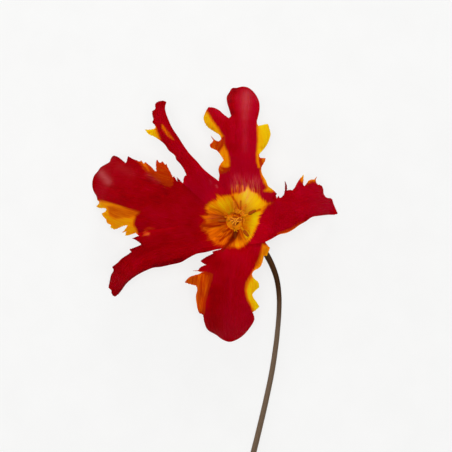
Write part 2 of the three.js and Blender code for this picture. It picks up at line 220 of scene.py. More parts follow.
def flowing_route(stations: Rows, steps: int, pieces: int = 40) -> Rows:
    """A centripetal curve through uneven stations, cut at equal lengths.

    Args:
        stations: Rows of x, y and z to pass through.
        steps: How many equal lengths to cut.
        pieces: How finely the curve is drawn between two stations first.

    Returns:
        steps + 1 rows.
    """
    first = 2 * stations[0] - stations[1]
    last = 2 * stations[-1] - stations[-2]
    points = np.vstack([first, stations, last])
    weight = np.linspace(0, 1, pieces, endpoint=False)[:, None]
    dense = []
    for before, start, end, after in zip(points, points[1:], points[2:], points[3:]):
        gaps = [np.sqrt(np.linalg.norm(b - a)) for a, b in ((before, start), (start, end), (end, after))]
        leave = (start - before) / gaps[0] - (end - before) / (gaps[0] + gaps[1]) + (end - start) / gaps[1]
        arrive = (end - start) / gaps[1] - (after - start) / (gaps[1] + gaps[2]) + (after - end) / gaps[2]
        dense.append(eased(start, end, leave * gaps[1], arrive * gaps[1], weight))
    route = np.vstack([*dense, stations[-1]])
    return read_along(route, np.linspace(0, travelled(route)[-1], steps + 1))


# ---- outlines


def turning(outline: Rows) -> Rows:
    """How far a closed outline turns at each of its points.

    Args:
        outline: Rows of x and y.

    Returns:
        Angles in radians, positive to the left.
    """
    arriving = outline - np.roll(outline, 1, axis=0)
    leaving = np.roll(outline, -1, axis=0) - outline
    cross = arriving[:, 0] * leaving[:, 1] - arriving[:, 1] * leaving[:, 0]
    return np.arctan2(cross, (arriving * leaving).sum(1))


def rounded(outline: Rows, step: float, sharp: float) -> Rows:
    """Rounds the gentle bends of a closed outline and keeps its sharp teeth.

    Args:
        outline: Rows of x and y.
        step: Longest side of the result, in mm.
        sharp: Turns of at least this many radians stay corners.

    Returns:
        The closed outline with many more points.
    """
    chord = np.roll(outline, -1, axis=0) - outline
    length = np.linalg.norm(chord, axis=1)
    heading = chord / length[:, None]
    bisector = heading + np.roll(heading, 1, axis=0)
    bisector /= np.maximum(np.linalg.norm(bisector, axis=1), TINY)[:, None]
    corner = np.abs(turning(outline)) > sharp
    points = []
    for i in range(len(outline)):
        j = (i + 1) % len(outline)
        leave = (heading[i] if corner[i] else bisector[i]) * length[i]
        arrive = (heading[i] if corner[j] else bisector[j]) * length[i]
        count = max(2, math.ceil(length[i] / step))
        points.append(eased(outline[i], outline[j], leave, arrive, np.arange(count)[:, None] / count))
    return np.vstack(points)


def trimmed(outline: Rows, centre: Rows, radius: float, step: float) -> Rows:
    """Cuts a closed outline along a circle that it enters once.

    Args:
        outline: Rows of x and y.
        centre: Middle of the circle.
        radius: Its radius.
        step: Longest side along the cut.

    Returns:
        The closed outline outside the circle, with the cut's own points.
    """
    apart = outline - centre
    outside = np.linalg.norm(apart, axis=1) >= radius
    first = int(np.argmax(outside & ~np.roll(outside, 1)))
    kept = np.roll(np.arange(len(outline)), -first)[np.roll(outside, -first)]
    start, end = np.arctan2(apart[kept[[-1, 0]], 1], apart[kept[[-1, 0]], 0])
    sweep = wrapped(end - start)
    turns = start + np.linspace(0, sweep, max(2, math.ceil(abs(sweep) * radius / step)) + 1)
    return np.vstack([outline[kept], centre + radius * np.stack([np.cos(turns), np.sin(turns)], 1)])


def inside(points: Rows, outline: Rows) -> Rows:
    """Finds the points that lie inside a closed outline.

    Args:
        points: Rows of x and y.
        outline: Rows of x and y.

    Returns:
        For each point, whether it does.
    """
    found = np.zeros(len(points), bool)
    x, y = points[:, 0], points[:, 1]
    for (x0, y0), (x1, y1) in zip(outline, np.roll(outline, -1, axis=0)):
        if y0 != y1:
            crosses = (y0 > y) != (y1 > y)
            found ^= crosses & (x < x0 + (y - y0) * (x1 - x0) / (y1 - y0))
    return found


def distance_to(points: Rows, outline: Rows) -> Rows:
    """Measures how far points lie from a closed outline.

    Args:
        points: Rows of x and y in mm.
        outline: Rows of x and y in mm.

    Returns:
        A distance in mm for each point.
    """
    nearest = np.full(len(points), np.inf)
    for start, end in zip(outline, np.roll(outline, -1, axis=0)):
        along = end - start
        share = np.clip((points - start) @ along / max(along @ along, TINY), 0, 1)
        nearest = np.minimum(nearest, np.linalg.norm(points - start - share[:, None] * along, axis=1))
    return nearest


def stroked(points: Rows, strokes: Sequence["Stroke"]) -> Rows:
    """How strongly soft strokes cover points.

    Args:
        points: Rows of x and y in mm.
        strokes: The strokes; where they overlap, the strongest counts.

    Returns:
        For each point, 0 away from all of them and a stroke's strength on its line.
    """
    cover = np.zeros(len(points))
    for stroke in strokes:
        line = plan_points(stroke.line)
        there_and_back = np.vstack([line, line[-2:0:-1]]) if len(line) > 2 else line
        apart = distance_to(points, there_and_back)
        cover = np.maximum(cover, stroke.strength * np.exp(-(apart / stroke.reach) ** 2))
    return cover


def depth_inside(points: Rows, outline: Rows) -> Rows:
    """How deep each point lies inside a closed outline, in mm; negative outside."""
    return np.where(inside(points, outline), 1.0, -1.0) * distance_to(points, outline)


# ---- meshes and node trees


def in_scene(name: str, data: bpy.types.ID) -> Piece:
    """Makes an object at the origin.

    Args:
        name: Its name.
        data: Its mesh, lamp or camera.

    Returns:
        The object, in the scene.
    """
    item = bpy.data.objects.new(name, data)
    bpy.context.scene.collection.objects.link(item)
    return item


def mesh_piece(name: str, points: Rows, faces: Sequence[Sequence[int]]) -> Piece:
    """Makes a smooth mesh object at the origin.

    Args:
        name: Name of the object and its mesh.
        points: Rows of x, y and z in mm.
        faces: Rows of point numbers.

    Returns:
        The new object, in the scene.
    """
    mesh = bpy.data.meshes.new(name)
    mesh.from_pydata((points * MM).tolist(), [], [list(map(int, face)) for face in faces])
    mesh.shade_smooth()
    return in_scene(name, mesh)


def line_piece(name: str, route: Rows, girth: Rows, closed: bool = False) -> Piece:
    """Makes a bare line for a tube to grow on.

    Args:
        name: Name of the object.
        route: Rows of x, y and z in mm.
        girth: Radius in mm at each row.
        closed: Whether the last point joins the first.

    Returns:
        The new object, with its radii in the attribute "girth".
    """
    mesh = bpy.data.meshes.new(name)
    sides = [(i, i + 1) for i in range(len(route) - 1)]
    if closed:
        sides.append((len(route) - 1, 0))
    mesh.from_pydata((route * MM).tolist(), sides, [])
    annotate(mesh, girth=girth * MM)
    return in_scene(name, mesh)


def annotate(mesh: bpy.types.Mesh, **notes: Rows) -> None:
    """Writes numbers or vectors for each point of a mesh.

    Args:
        mesh: The mesh to write on.
        notes: By attribute name, one value or one row of three for each point.
    """
    for name, values in notes.items():
        kind, field = ("FLOAT_VECTOR", "vector") if values.ndim == 2 else ("FLOAT", "value")
        layer = mesh.attributes.new(name, kind, "POINT")
        layer.data.foreach_set(field, values.astype(np.float32).ravel())


def ring_faces(rings: int, sides: int) -> list[list[int]]:
    """Faces of a closed body whose points stand in rings.

    Args:
        rings: Number of rings, from one end to the other.
        sides: Number of points in each.

    Returns:
        The faces between the rings, and one across each end.
    """
    faces = []
    for first in range(0, (rings - 1) * sides, sides):
        for side in range(sides):
            onward = (side + 1) % sides
            faces.append([first + side, first + onward, first + sides + onward, first + sides + side])
    last = range((rings - 1) * sides, rings * sides)
    return [*faces, list(range(sides))[::-1], list(last)]


def made_plain(piece: Piece) -> None:
    """Keeps what a piece's modifiers make as its plain mesh.

    Args:
        piece: The piece, which loses its modifiers.
    """
    graph = bpy.context.evaluated_depsgraph_get()
    grown = piece.evaluated_get(graph)
    mesh = bpy.data.meshes.new_from_object(grown, preserve_all_data_layers=True, depsgraph=graph)
    piece.modifiers.clear()
    piece.data = mesh
    mesh.name = piece.name


class Tree:
    """A node tree that is being written."""

    def __init__(self, tree: bpy.types.NodeTree) -> None:
        """Starts writing in an empty tree."""
        self.tree = tree
        self.tree.nodes.clear()

    def add(self, kind: str, values: dict | None = None, **options: object) -> bpy.types.Node:
        """Adds a node.

        Args:
            kind: The node's type.
            values: What goes into its sockets, by name or number: a value or another socket.
            options: The node's own settings.

        Returns:
            The node.
        """
        node = self.tree.nodes.new(kind)
        for option, value in options.items():
            setattr(node, option, value)
        for socket, value in (values or {}).items():
            if isinstance(value, Socket):
                self.tree.links.new(value, node.inputs[socket])
            else:
                node.inputs[socket].default_value = value
        return node

    def math(self, operation: str, *values: object, clamp: bool = False) -> Socket:
        """Arithmetic on one to three numbers."""
        node = self.add("ShaderNodeMath", dict(enumerate(values)), operation=operation, use_clamp=clamp)
        return node.outputs[0]

    def combined(self, operation: str, *values: object) -> Socket:
        """Arithmetic on two vectors or colours."""
        return self.add("ShaderNodeVectorMath", dict(enumerate(values)), operation=operation).outputs[0]

    def scaled(self, vector: object, factor: object) -> Socket:
        """A vector or colour times a number."""
        return self.add("ShaderNodeVectorMath", {0: vector, 3: factor}, operation="SCALE").outputs[0]

    def step(self, value: object, low: object, high: object, start: object = 0.0, end: object = 1.0
             ) -> Socket:
        """A smooth step from start at low to end at high."""
        span = {"Value": value, "From Min": low, "From Max": high, "To Min": start, "To Max": end}
        return self.add("ShaderNodeMapRange", span, interpolation_type="SMOOTHSTEP").outputs[0]


class ShaderTree(Tree):
    """A material's node tree around one shader."""

    def __init__(self, name: str, **skin: object) -> None:
        """Starts a material.

        Args:
            name: The material's name.
            skin: Constant values for the shader's sockets, with _ for a space.
        """
        self.material = bpy.data.materials.new(name)
        self.material.use_nodes = True
        super().__init__(self.material.node_tree)
        fixed = {socket.replace("_", " "): value for socket, value in skin.items()}
        self.skin = self.add("ShaderNodeBsdfPrincipled", fixed)
        self.add("ShaderNodeOutputMaterial", {"Surface": self.skin.outputs["BSDF"]})

    def wear(self, socket: str, value: Socket) -> None:
        """Drives one of the shader's sockets."""
        self.tree.links.new(value, self.skin.inputs[socket])

    def number(self, name: str) -> Socket:
        """A mesh attribute as a number."""
        return self.add("ShaderNodeAttribute", attribute_name=name).outputs["Fac"]

    def vector(self, name: str) -> Socket:
        """A mesh attribute as a vector."""
        return self.add("ShaderNodeAttribute", attribute_name=name).outputs["Vector"]

    def place(self) -> Socket:
        """The place in the piece's own frame."""
        return self.add("ShaderNodeTexCoord").outputs["Object"]

    def plus(self, base: object, value: object, factor: object) -> Socket:
        """A number with another number times a factor added to it."""
        return self.math("MULTIPLY_ADD", value, factor, base)

    def centred(self, noise: object) -> Socket:
        """A noise brought to lie around 0."""
        return self.math("SUBTRACT", noise, 0.5)

    def blend(self, share: object, first: object, second: object) -> Socket:
        """A colour between two others."""
        node = self.add("ShaderNodeMix", {0: share, 6: first, 7: second}, data_type="RGBA")
        return node.outputs[2]

    def ramp(self, value: object, *stops: tuple[float, Colour]) -> Socket:
        """A colour read from a ramp.

        Args:
            value: Where to read it, from 0 to 1.
            stops: Places and their colours.

        Returns:
            The colour's socket.
        """
        node = self.add("ShaderNodeValToRGB", {"Fac": value})
        elements = node.color_ramp.elements
        while len(elements) < len(stops):
            elements.new(1.0)
        for element, (position, colour) in zip(elements, stops):
            element.position = position
            element.color = colour
        return node.outputs["Color"]

    def grain(self, vector: object, scale: Triple, detail: float = 3.0,
              roughness: float = 0.55) -> Socket:
        """Noise stretched along a vector's axes.

        Args:
            vector: Where the noise is read.
            scale: How fast it changes along each axis.
            detail: Number of finer layers.
            roughness: How strong the finer layers are.

        Returns:
            The noise, mostly from 0.3 to 0.7.
        """
        stretched = self.add("ShaderNodeMapping", {"Vector": vector, "Scale": scale}).outputs[0]
        values = {"Vector": stretched, "Scale": 1.0, "Detail": detail, "Roughness": roughness}
        return self.add("ShaderNodeTexNoise", values).outputs["Fac"]

    def relief(self, height: object, depth: float) -> None:
        """Roughens the surface by a height from 0 to 1, where 1 stands for depth in mm."""
        values = {"Height": height, "Distance": depth * MM, "Strength": 1.0}
        self.wear("Normal", self.add("ShaderNodeBump", values).outputs[0])


class GeometryTree(Tree):
    """A geometry node tree with named sizes, grown on a piece once."""

    def __init__(self, name: str) -> None:
        """Starts a tree that takes and gives geometry.

        Args:
            name: The tree's name.
        """
        super().__init__(bpy.data.node_groups.new(name, "GeometryNodeTree"))
        for way in ("INPUT", "OUTPUT"):
            self.tree.interface.new_socket("Geometry", in_out=way, socket_type="NodeSocketGeometry")
        self.source = self.add("NodeGroupInput")
        self.geometry = self.source.outputs["Geometry"]

    def size(self, name: str, kind: str = "Float") -> Socket:
        """Adds a named input."""
        self.tree.interface.new_socket(name, in_out="INPUT", socket_type=f"NodeSocket{kind}")
        return self.source.outputs[name]

    def named(self, name: str, kind: str = "FLOAT") -> Socket:
        """A mesh attribute."""
        return self.add("GeometryNodeInputNamedAttribute", {"Name": name}, data_type=kind).outputs[0]

    def stored(self, geometry: object, name: str, value: object, kind: str, domain: str = "POINT"
               ) -> Socket:
        """The geometry with an attribute on each of its points, edges or faces."""
        values = {"Geometry": geometry, "Name": name, "Value": value}
        return self.add("GeometryNodeStoreNamedAttribute", values, data_type=kind, domain=domain).outputs[0]

    def finish(self, geometry: Socket, material: Socket,
               other: tuple[Socket, Socket] | None = None) -> None:
        """Ends the tree.

        Args:
            geometry: What the tree has made.
            material: The finish of all of it.
            other: A second finish, and the selection that wears it.
        """
        real = self.add("GeometryNodeRealizeInstances", {"Geometry": geometry}).outputs[0]
        smooth = self.add("GeometryNodeSetShadeSmooth", {0: real}).outputs[0]
        worn = self.add("GeometryNodeSetMaterial", {"Geometry": smooth, "Material": material}).outputs[0]
        if other:
            values = {"Geometry": worn, "Material": other[0], "Selection": other[1]}
            worn = self.add("GeometryNodeSetMaterial", values).outputs[0]
        self.add("NodeGroupOutput", {"Geometry": worn})

    def grow(self, piece: Piece, **sizes: object) -> Piece:
        """Runs the tree on a piece and keeps the result as its plain mesh.

        Args:
            piece: The object to grow on.
            sizes: The tree's inputs by name, with _ for a space.

        Returns:
            The same object.
        """
        modifier = piece.modifiers.new(self.tree.name, "NODES")
        modifier.node_group = self.tree
        sockets = {item.name: item.identifier for item in self.tree.interface.items_tree
                   if item.in_out == "INPUT"}
        for name, value in sizes.items():
            modifier[sockets[name.replace("_", " ")]] = value
        made_plain(piece)
        return piece


class BladeTree(GeometryTree):
    """Gives an open surface its two faces and a thin rim."""

    MERGED = 1e-6  # m; points nearer than this become one
    CREASED = 1.0  # radians; an edge that turns more is sharp

    def __init__(self) -> None:
        """Writes the tree."""
        super().__init__("blade")
        surface = self.geometry
        thickness, rim = self.size("Thickness"), self.size("Rim Thickness")
        taper = self.size("Taper")
        face, back = self.size("Face", "Material"), self.size("Back", "Material")
        half, thin = self.math("MULTIPLY", thickness, 0.5), self.math("MULTIPLY", rim, 0.5)
        lift = self.step(self.named("edge"), 0.0, taper, thin, half)
        out = self.scaled(self.add("GeometryNodeInputNormal").outputs[0], lift)
        position = self.add("GeometryNodeInputPosition").outputs[0]
        kept = self.add("GeometryNodeCaptureAttribute", domain="POINT")
        for name, operation in (("Above", "ADD"), ("Below", "SUBTRACT")):
            kept.capture_items.new("VECTOR", name)
            self.tree.links.new(self.combined(operation, position, out), kept.inputs[name])
        self.tree.links.new(surface, kept.inputs["Geometry"])
        sheet = kept.outputs["Geometry"]
        lower = {"Geometry": sheet, "Position": kept.outputs["Below"]}
        lowered = self.add("GeometryNodeSetPosition", lower).outputs[0]
        flipped = self.add("GeometryNodeFlipFaces", {0: lowered}).outputs[0]
        marked = self.stored(flipped, "underside", True, "BOOLEAN", "FACE")
        still = {"Mesh": sheet, "Offset Scale": 0.0, "Individual": False}
        pulled = self.add("GeometryNodeExtrudeMesh", still, mode="FACES")
        walls = {"Geometry": pulled.outputs["Mesh"], "Position": kept.outputs["Below"]}
        sunk = self.add("GeometryNodeSetPosition", walls).outputs[0]
        raised = self.add("GeometryNodeSetPosition", {
            "Geometry": sunk, "Position": kept.outputs["Above"], "Selection": pulled.outputs["Top"],
        }).outputs[0]
        joined = self.add("GeometryNodeJoinGeometry")
        for part in (marked, raised):
            self.tree.links.new(part, joined.inputs[0])
        whole = self.add("GeometryNodeMergeByDistance", {0: joined.outputs[0], "Distance": self.MERGED})
        angle = self.add("GeometryNodeInputMeshEdgeAngle").outputs["Unsigned Angle"]
        sharp = self.math("GREATER_THAN", angle, self.CREASED)
        creased = self.stored(whole.outputs[0], "sharp_edge", sharp, "BOOLEAN", "EDGE")
        self.finish(creased, face, (back, self.named("underside", "BOOLEAN")))


class TubeTree(GeometryTree):
    """Grows a closed, faintly ribbed tube along a line whose points know their girth."""

    UNEVEN = 260.0  # scale of the unevenness
    STOUT = 1.5 * MM  # ribs and unevenness fade where the tube is thinner

    def __init__(self) -> None:
        """Writes the tree."""
        super().__init__("tube")
        sides = self.size("Sides", "Int")
        ribs, depth = self.size("Ribs"), self.size("Rib Depth")
        unevenness, seed = self.size("Unevenness"), self.size("Seed")
        material = self.size("Material", "Material")
        travelled = self.add("GeometryNodeSplineParameter")
        curve = self.add("GeometryNodeMeshToCurve", {"Mesh": self.geometry}).outputs[0]
        line = self.stored(curve, "along", travelled.outputs["Length"], "FLOAT")
        circle = self.add("GeometryNodeCurvePrimitiveCircle", {"Resolution": sides, "Radius": 1.0})
        ring = self.stored(circle.outputs[0], "turn", travelled.outputs["Factor"], "FLOAT")
        tube = self.add("GeometryNodeCurveToMesh", {
            "Curve": line, "Profile Curve": ring, "Scale": self.named("girth"), "Fill Caps": True,
        }).outputs[0]
        turn = self.math("MULTIPLY", self.named("turn"), self.math("MULTIPLY", ribs, math.tau))
        rib = self.math("MULTIPLY", self.math("COSINE", turn), depth)
        uneven = {"W": seed, "Scale": self.UNEVEN, "Detail": 2.0}
        noise = self.add("ShaderNodeTexNoise", uneven, noise_dimensions="4D").outputs[0]
        bump = self.math("MULTIPLY", self.math("SUBTRACT", noise, 0.5), unevenness)
        share = self.math("MINIMUM", self.math("DIVIDE", self.named("girth"), self.STOUT), 1.0)
        height = self.math("MULTIPLY", self.math("ADD", rib, bump), share)
        normal = self.add("GeometryNodeInputNormal").outputs[0]
        moved = {"Geometry": tube, "Offset": self.scaled(normal, height)}
        self.finish(self.add("GeometryNodeSetPosition", moved).outputs[0], material)


class GrainTree(GeometryTree):
    """Scatters small round grains over the part of a surface that lies above a height."""

    DENSEST = 4e8  # grains on a square metre before the gap thins them out
    SIZES = (0.55, 1.1)  # of the smallest and the largest, as shares of the grain size

    def __init__(self) -> None:
        """Writes the tree."""
        super().__init__("grains")
        base = self.geometry
        size, gap = self.size("Grain Size"), self.size("Gap")
        floor, seed = self.size("Lowest"), self.size("Seed", "Int")
        flesh, material = self.size("Flesh", "Material"), self.size("Grain", "Material")
        position = self.add("GeometryNodeInputPosition").outputs[0]
        height = self.add("ShaderNodeSeparateXYZ", {0: position}).outputs["Z"]
        points = self.add("GeometryNodeDistributePointsOnFaces", {
            "Mesh": base, "Selection": self.math("GREATER_THAN", height, floor),
            "Distance Min": gap, "Density Max": self.DENSEST, "Seed": seed,
        }, distribute_method="POISSON").outputs["Points"]
        ball = self.add("GeometryNodeMeshIcoSphere", {"Radius": size, "Subdivisions": 1}).outputs[0]
        ball = self.stored(ball, "grain", True, "BOOLEAN", "FACE")
        least, most = self.SIZES
        sizes = self.add("FunctionNodeRandomValue", {2: least, 3: most, "Seed": seed}, data_type="FLOAT")
        scattered = {"Points": points, "Instance": ball, "Scale": sizes.outputs[1]}
        grains = self.add("GeometryNodeInstanceOnPoints", scattered).outputs[0]
        joined = self.add("GeometryNodeJoinGeometry")
        for part in (grains, base):
            self.tree.links.new(part, joined.inputs[0])
        self.finish(joined.outputs[0], flesh, (material, self.named("grain", "BOOLEAN")))


# ---- finishes


@dataclass(frozen=True)
class PetalFinish:
    """The velvet of a tepal: red, with flames of yellow and orange."""

    name: str
    dark: Colour = (0.17, 0.0, 0.0025, 1.0)
    red: Colour = (0.315, 0.0, 0.0022, 1.0)
    rose: Colour = (0.395, 0.0003, 0.0125, 1.0)
    painted_sheen: Colour = (0.135, 0.065, 0.068, 1.0)  # painted sheen, where the surface would catch the light; also added where it has pale fibres
    yellow: Colour = (0.74, 0.47, 0.002, 1.0)
    orange: Colour = (0.68, 0.175, 0.0008, 1.0)
    ember: Colour = (0.38, 0.024, 0.0006, 1.0)
    # of the heart's dark veins and of the shadows painted where tepals, stamens and pistil shade it
    vein_and_shadow: Colour = (0.20, 0.012, 0.0003, 1.0)
    painted_flame_light: float = 0.36  # painted light: how much brighter the flames are painted in the heart
    painted_red_light: float = 0.26  # and how much brighter the red is painted there
    dimmed: float = -0.6  # how much darker the flames are in full shade
    gloss: float = 0.004
    translucency: float = 0.8
    glow: float = 1.0  # mm that red light travels inside
    light: Triple = (1.0, 0.65, 0.2)  # how far red, green and blue light do, beside that
    rays: Triple = (0.05, 0.38, 1.0)  # scales of the noises along, across and between tepals: broad,
    streaks: Triple = (0.09, 1.0, 1.0)  # middling
    threads: Triple = (0.3, 3.0, 1.0)  # and fine
    clouds: float = 130.0  # scale of the noise that is alike in every direction
    edge: Pair = (-0.5, 0.45)  # mm inside a flame over which the red gives way
    rim: Pair = (-0.2, 1.8)  # mm inside a flame over which its warmer rim fades
    rim_warmth: float = 0.6
    vein_and_shadow_warmth: float = 0.7
    vein_and_shadow_cover: float = 0.75  # how much of a line of dark vein and painted shadow has its own colour

    def material(self) -> Material:
        """Writes the material.

        Returns:
            A material that reads what Tepal.notes writes, save rib, and the margin.
        """
        tree = ShaderTree(self.name, Specular_IOR_Level=self.gloss, Subsurface_Weight=self.translucency,
                          Subsurface_Radius=self.light, Subsurface_Scale=self.glow * MM)
        vein = tree.vector("vein")
        ray = tree.centred(tree.grain(vein, self.rays, roughness=0.6))
        streak = tree.centred(tree.grain(vein, self.streaks, 4.0, 0.6))
        thread = tree.centred(tree.grain(vein, self.threads))
        cloud = tree.centred(tree.grain(tree.place(), (self.clouds,) * 3))
        heart, shade, vein_and_shadow = (tree.number(name) for name in ("heart", "shade", "vein_and_shadow"))
        # Where a flame is, and how warm
        frayed = tree.plus(streak, thread, 0.5)
        depth = tree.plus(tree.number("patch"), frayed, tree.number("feather"))
        rim = tree.step(depth, *self.rim, self.rim_warmth, 0.0)
        grain = tree.plus(tree.math("MULTIPLY", ray, 0.8), streak, 0.5)
        grain = tree.plus(grain, thread, 0.6)
        warmth = tree.math("ADD", tree.number("warm"), rim)
        warmth = tree.plus(warmth, grain, tree.plus(0.72, heart, 0.35))
        warmth = tree.plus(warmth, vein_and_shadow, self.vein_and_shadow_warmth)
        flame = tree.ramp(warmth, (0.0, self.yellow), (0.5, self.orange), (1.0, self.ember))
        # painted light in the heart and under the painted lights, painted shade under the shade strokes
        flame = tree.scaled(flame, tree.plus(tree.plus(1.0, heart, self.painted_flame_light), shade, self.dimmed))
        # How deep the red is
        tone = tree.plus(tree.number("tone"), cloud, 0.7)
        tone = tree.plus(tone, thread, 0.5)
        tone = tree.plus(tone, streak, 0.35)
        # darker along the free margins: partly their own colour, partly painted shade where they turn away
        tone = tree.plus(tone, tree.number("margin"), -0.5)
        tone = tree.math("SUBTRACT", tone, shade)
        velvet = tree.ramp(tone, (0.0, self.dark), (0.45, self.red), (1.0, self.rose))
        # painted light: the red is brighter in the heart
        velvet = tree.scaled(velvet, tree.plus(1.0, heart, self.painted_red_light))
        # What lies over both: dark veins with painted shadow, then painted sheen and pale fibres
        coloured = tree.blend(tree.step(depth, *self.edge), velvet, flame)
        coloured = tree.blend(tree.math("MULTIPLY", vein_and_shadow, self.vein_and_shadow_cover), coloured, self.vein_and_shadow)
        # painted sheen, then pale fibres
        pale = tree.math("MULTIPLY", tree.number("painted_sheen"), tree.plus(0.8, thread, 1.2))
        hair = tree.math("MULTIPLY_ADD", streak, 1.5, tree.plus(0.42, thread, 4.5), clamp=True)
        pale = tree.plus(pale, tree.number("fibre"), hair)
        tree.wear("Base Color", tree.combined("ADD", coloured, tree.scaled(self.painted_sheen[:3], pale)))
        tree.wear("Roughness", tree.plus(0.5, thread, 0.4))
        tree.relief(tree.plus(thread, streak, 1.5), 0.35)
        return tree.material


@dataclass(frozen=True)
class BackFinish:
    """The back of a tepal: duller red, with a green-yellow rib."""

    name: str
    red: Colour = (0.30, 0.006, 0.009, 1.0)
    dark: Colour = (0.17, 0.004, 0.006, 1.0)
    gold: Colour = (0.66, 0.29, 0.012, 1.0)
    green: Colour = (0.27, 0.27, 0.035, 1.0)

    def material(self) -> Material:
        """Writes the material.

        Returns:
            A material that reads the attributes patch, vein and rib.
        """
        tree = ShaderTree(self.name, Specular_IOR_Level=0.2, Roughness=0.5)
        vein = tree.vector("vein")
        streak = tree.centred(tree.grain(vein, (0.07, 0.9, 1.0), 4.0, 0.6))
        thread = tree.centred(tree.grain(vein, (0.25, 4.2, 1.0)))
        cloud = tree.grain(tree.place(), (110.0,) * 3)
        velvet = tree.ramp(tree.plus(cloud, thread, 0.8), (0.35, self.dark), (0.65, self.red))
        depth = tree.plus(tree.number("patch"), streak, 7.0)
        golden = tree.blend(tree.step(depth, -0.6, 1.6), velvet, self.gold)
        rib = tree.plus(tree.number("rib"), streak, 0.9)
        tree.wear("Base Color", tree.blend(tree.step(rib, 0.25, 0.85), golden, self.green))
        tree.relief(tree.plus(thread, streak, 1.5), 0.4)
        return tree.material


@dataclass(frozen=True)
class StemFinish:
    """Dull olive-brown skin with fine lengthwise fibres, and a pale cut end."""

    name: str = "stem_skin"
    shade: Colour = (0.030, 0.010, 0.002, 1.0)
    light: Colour = (0.078, 0.031, 0.008, 1.0)
    pale: Colour = (0.175, 0.120, 0.078, 1.0)
    green: Colour = (0.10, 0.105, 0.022, 1.0)
    crown: Colour = (0.96, 0.24, 0.002, 1.0)
    petal_foot: Colour = (1.0, 0.44, 0.004, 1.0)
    pith: Colour = (0.42, 0.40, 0.22, 1.0)
    vessel: Colour = (0.14, 0.12, 0.05, 1.0)
    vessels: float = 2600.0  # vessels to a metre of the cut

    def material(self) -> Material:
        """Writes the material.

        Returns:
            A material that reads the attributes along, turn, fresh, faded, crown, rim and cut.
        """
        tree = ShaderTree(self.name, Specular_IOR_Level=0.05, Roughness=0.5)
        angle = tree.math("MULTIPLY", tree.number("turn"), math.tau)
        skin = tree.add("ShaderNodeCombineXYZ", {
            "X": tree.math("COSINE", angle), "Y": tree.math("SINE", angle), "Z": tree.number("along"),
        }).outputs[0]
        fibre = tree.grain(skin, (5.0, 5.0, 60.0), 4.0, 0.6)
        blotch = tree.centred(tree.grain(skin, (0.8, 0.8, 45.0)))
        brown = tree.ramp(tree.plus(fibre, blotch, 1.2), (0.3, self.shade), (0.75, self.light))
        brown = tree.blend(tree.math("MULTIPLY", tree.number("faded"), 0.8), brown, self.pale)
        fresh = tree.blend(tree.math("MULTIPLY", tree.number("fresh"), 0.8), brown, self.green)
        crown = tree.ramp(fibre, (0.38, self.crown), (0.62, self.petal_foot))
        fresh = tree.blend(tree.number("crown"), fresh, crown)
        cells = tree.add("ShaderNodeTexVoronoi", {"Vector": tree.place(), "Scale": self.vessels})
        cut = tree.ramp(cells.outputs["Distance"], (0.18, self.vessel), (0.34, self.pith))
        ring = tree.blend(tree.step(tree.number("rim"), 0.78, 0.96), cut, self.vessel)
        tree.wear("Base Color", tree.blend(tree.step(tree.number("cut"), 0.4, 0.6), fresh, ring))
        tree.relief(fibre, 0.12)
        return tree.material


@dataclass(frozen=True)
class SoftFinish:
    """A soft, grained tissue between two colours, with painted shade where it lies low or steep when given a
    colour for it.
    """

    name: str
    low: Colour
    high: Colour
    tint: Colour
    grain: float = 900.0
    roughness: float = 0.6
    relief: float = 0.08
    painted_hollow_shade: Colour | None = None  # painted shade: colour of what lies lower than its surroundings or on a steep side

    def material(self) -> Material:
        """Writes the material.

        Returns:
            A material that reads the attribute ridge if it has painted shade.
        """
        tree = ShaderTree(self.name, Specular_IOR_Level=0.03, Roughness=self.roughness)
        fine = tree.grain(tree.place(), (self.grain,) * 3, 4.0, 0.6)
        broad = tree.grain(tree.place(), (self.grain / 4,) * 3, 2.0)
        body = tree.ramp(fine, (0.3, self.low), (0.7, self.high))
        body = tree.blend(tree.step(broad, 0.42, 0.66), body, self.tint)
        if self.painted_hollow_shade:
            # painted shade in hollows and on steep sides
            body = tree.blend(tree.step(tree.number("ridge"), -0.3, 0.8), self.painted_hollow_shade, body)
        tree.wear("Base Color", body)
        tree.relief(fine, self.relief)
        return tree.material


@dataclass(frozen=True)
class FloorFinish:
    """Plain pale floor."""

    name: str = "pale_floor"
    pale: Colour = (0.20, 0.20, 0.197, 1.0)
    paler: Colour = (0.215, 0.215, 0.212, 1.0)
    glow: float = 0.725

    def material(self) -> Material:
        """Writes the material.

        Returns:
            A material that glows faintly.
        """
        tree = ShaderTree(self.name, Specular_IOR_Level=0.0, Roughness=0.9, Emission_Strength=self.glow,
                          Emission_Color=(1.0, 1.0, 0.995, 1.0))
        tooth = tree.grain(tree.place(), (40.0, 40.0, 40.0), 2.0)
        tree.wear("Base Color", tree.ramp(tooth, (0.3, self.pale), (0.7, self.paler)))
        return tree.material


# ---- tepals


@dataclass(frozen=True)
class Marking:
    """A yellow or orange patch of a tepal. It runs past the margin where it reaches it."""

    warmth: float  # 0 yellow, 0.5 orange, 1 deep orange
    outline: Sequence[Point]
    feather: float = 1.6  # mm by which its edge frays
    cover: float = 9.0  # mm; near 0, its middle is as streaked as its edge


@dataclass(frozen=True)
class Stroke:
    """A soft line along plan points, of painted shade, painted sheen, pale fibres, painted light, or dark
    veins with painted shadow.
    """

    line: Sequence[Point]
    reach: float  # mm
    strength: float


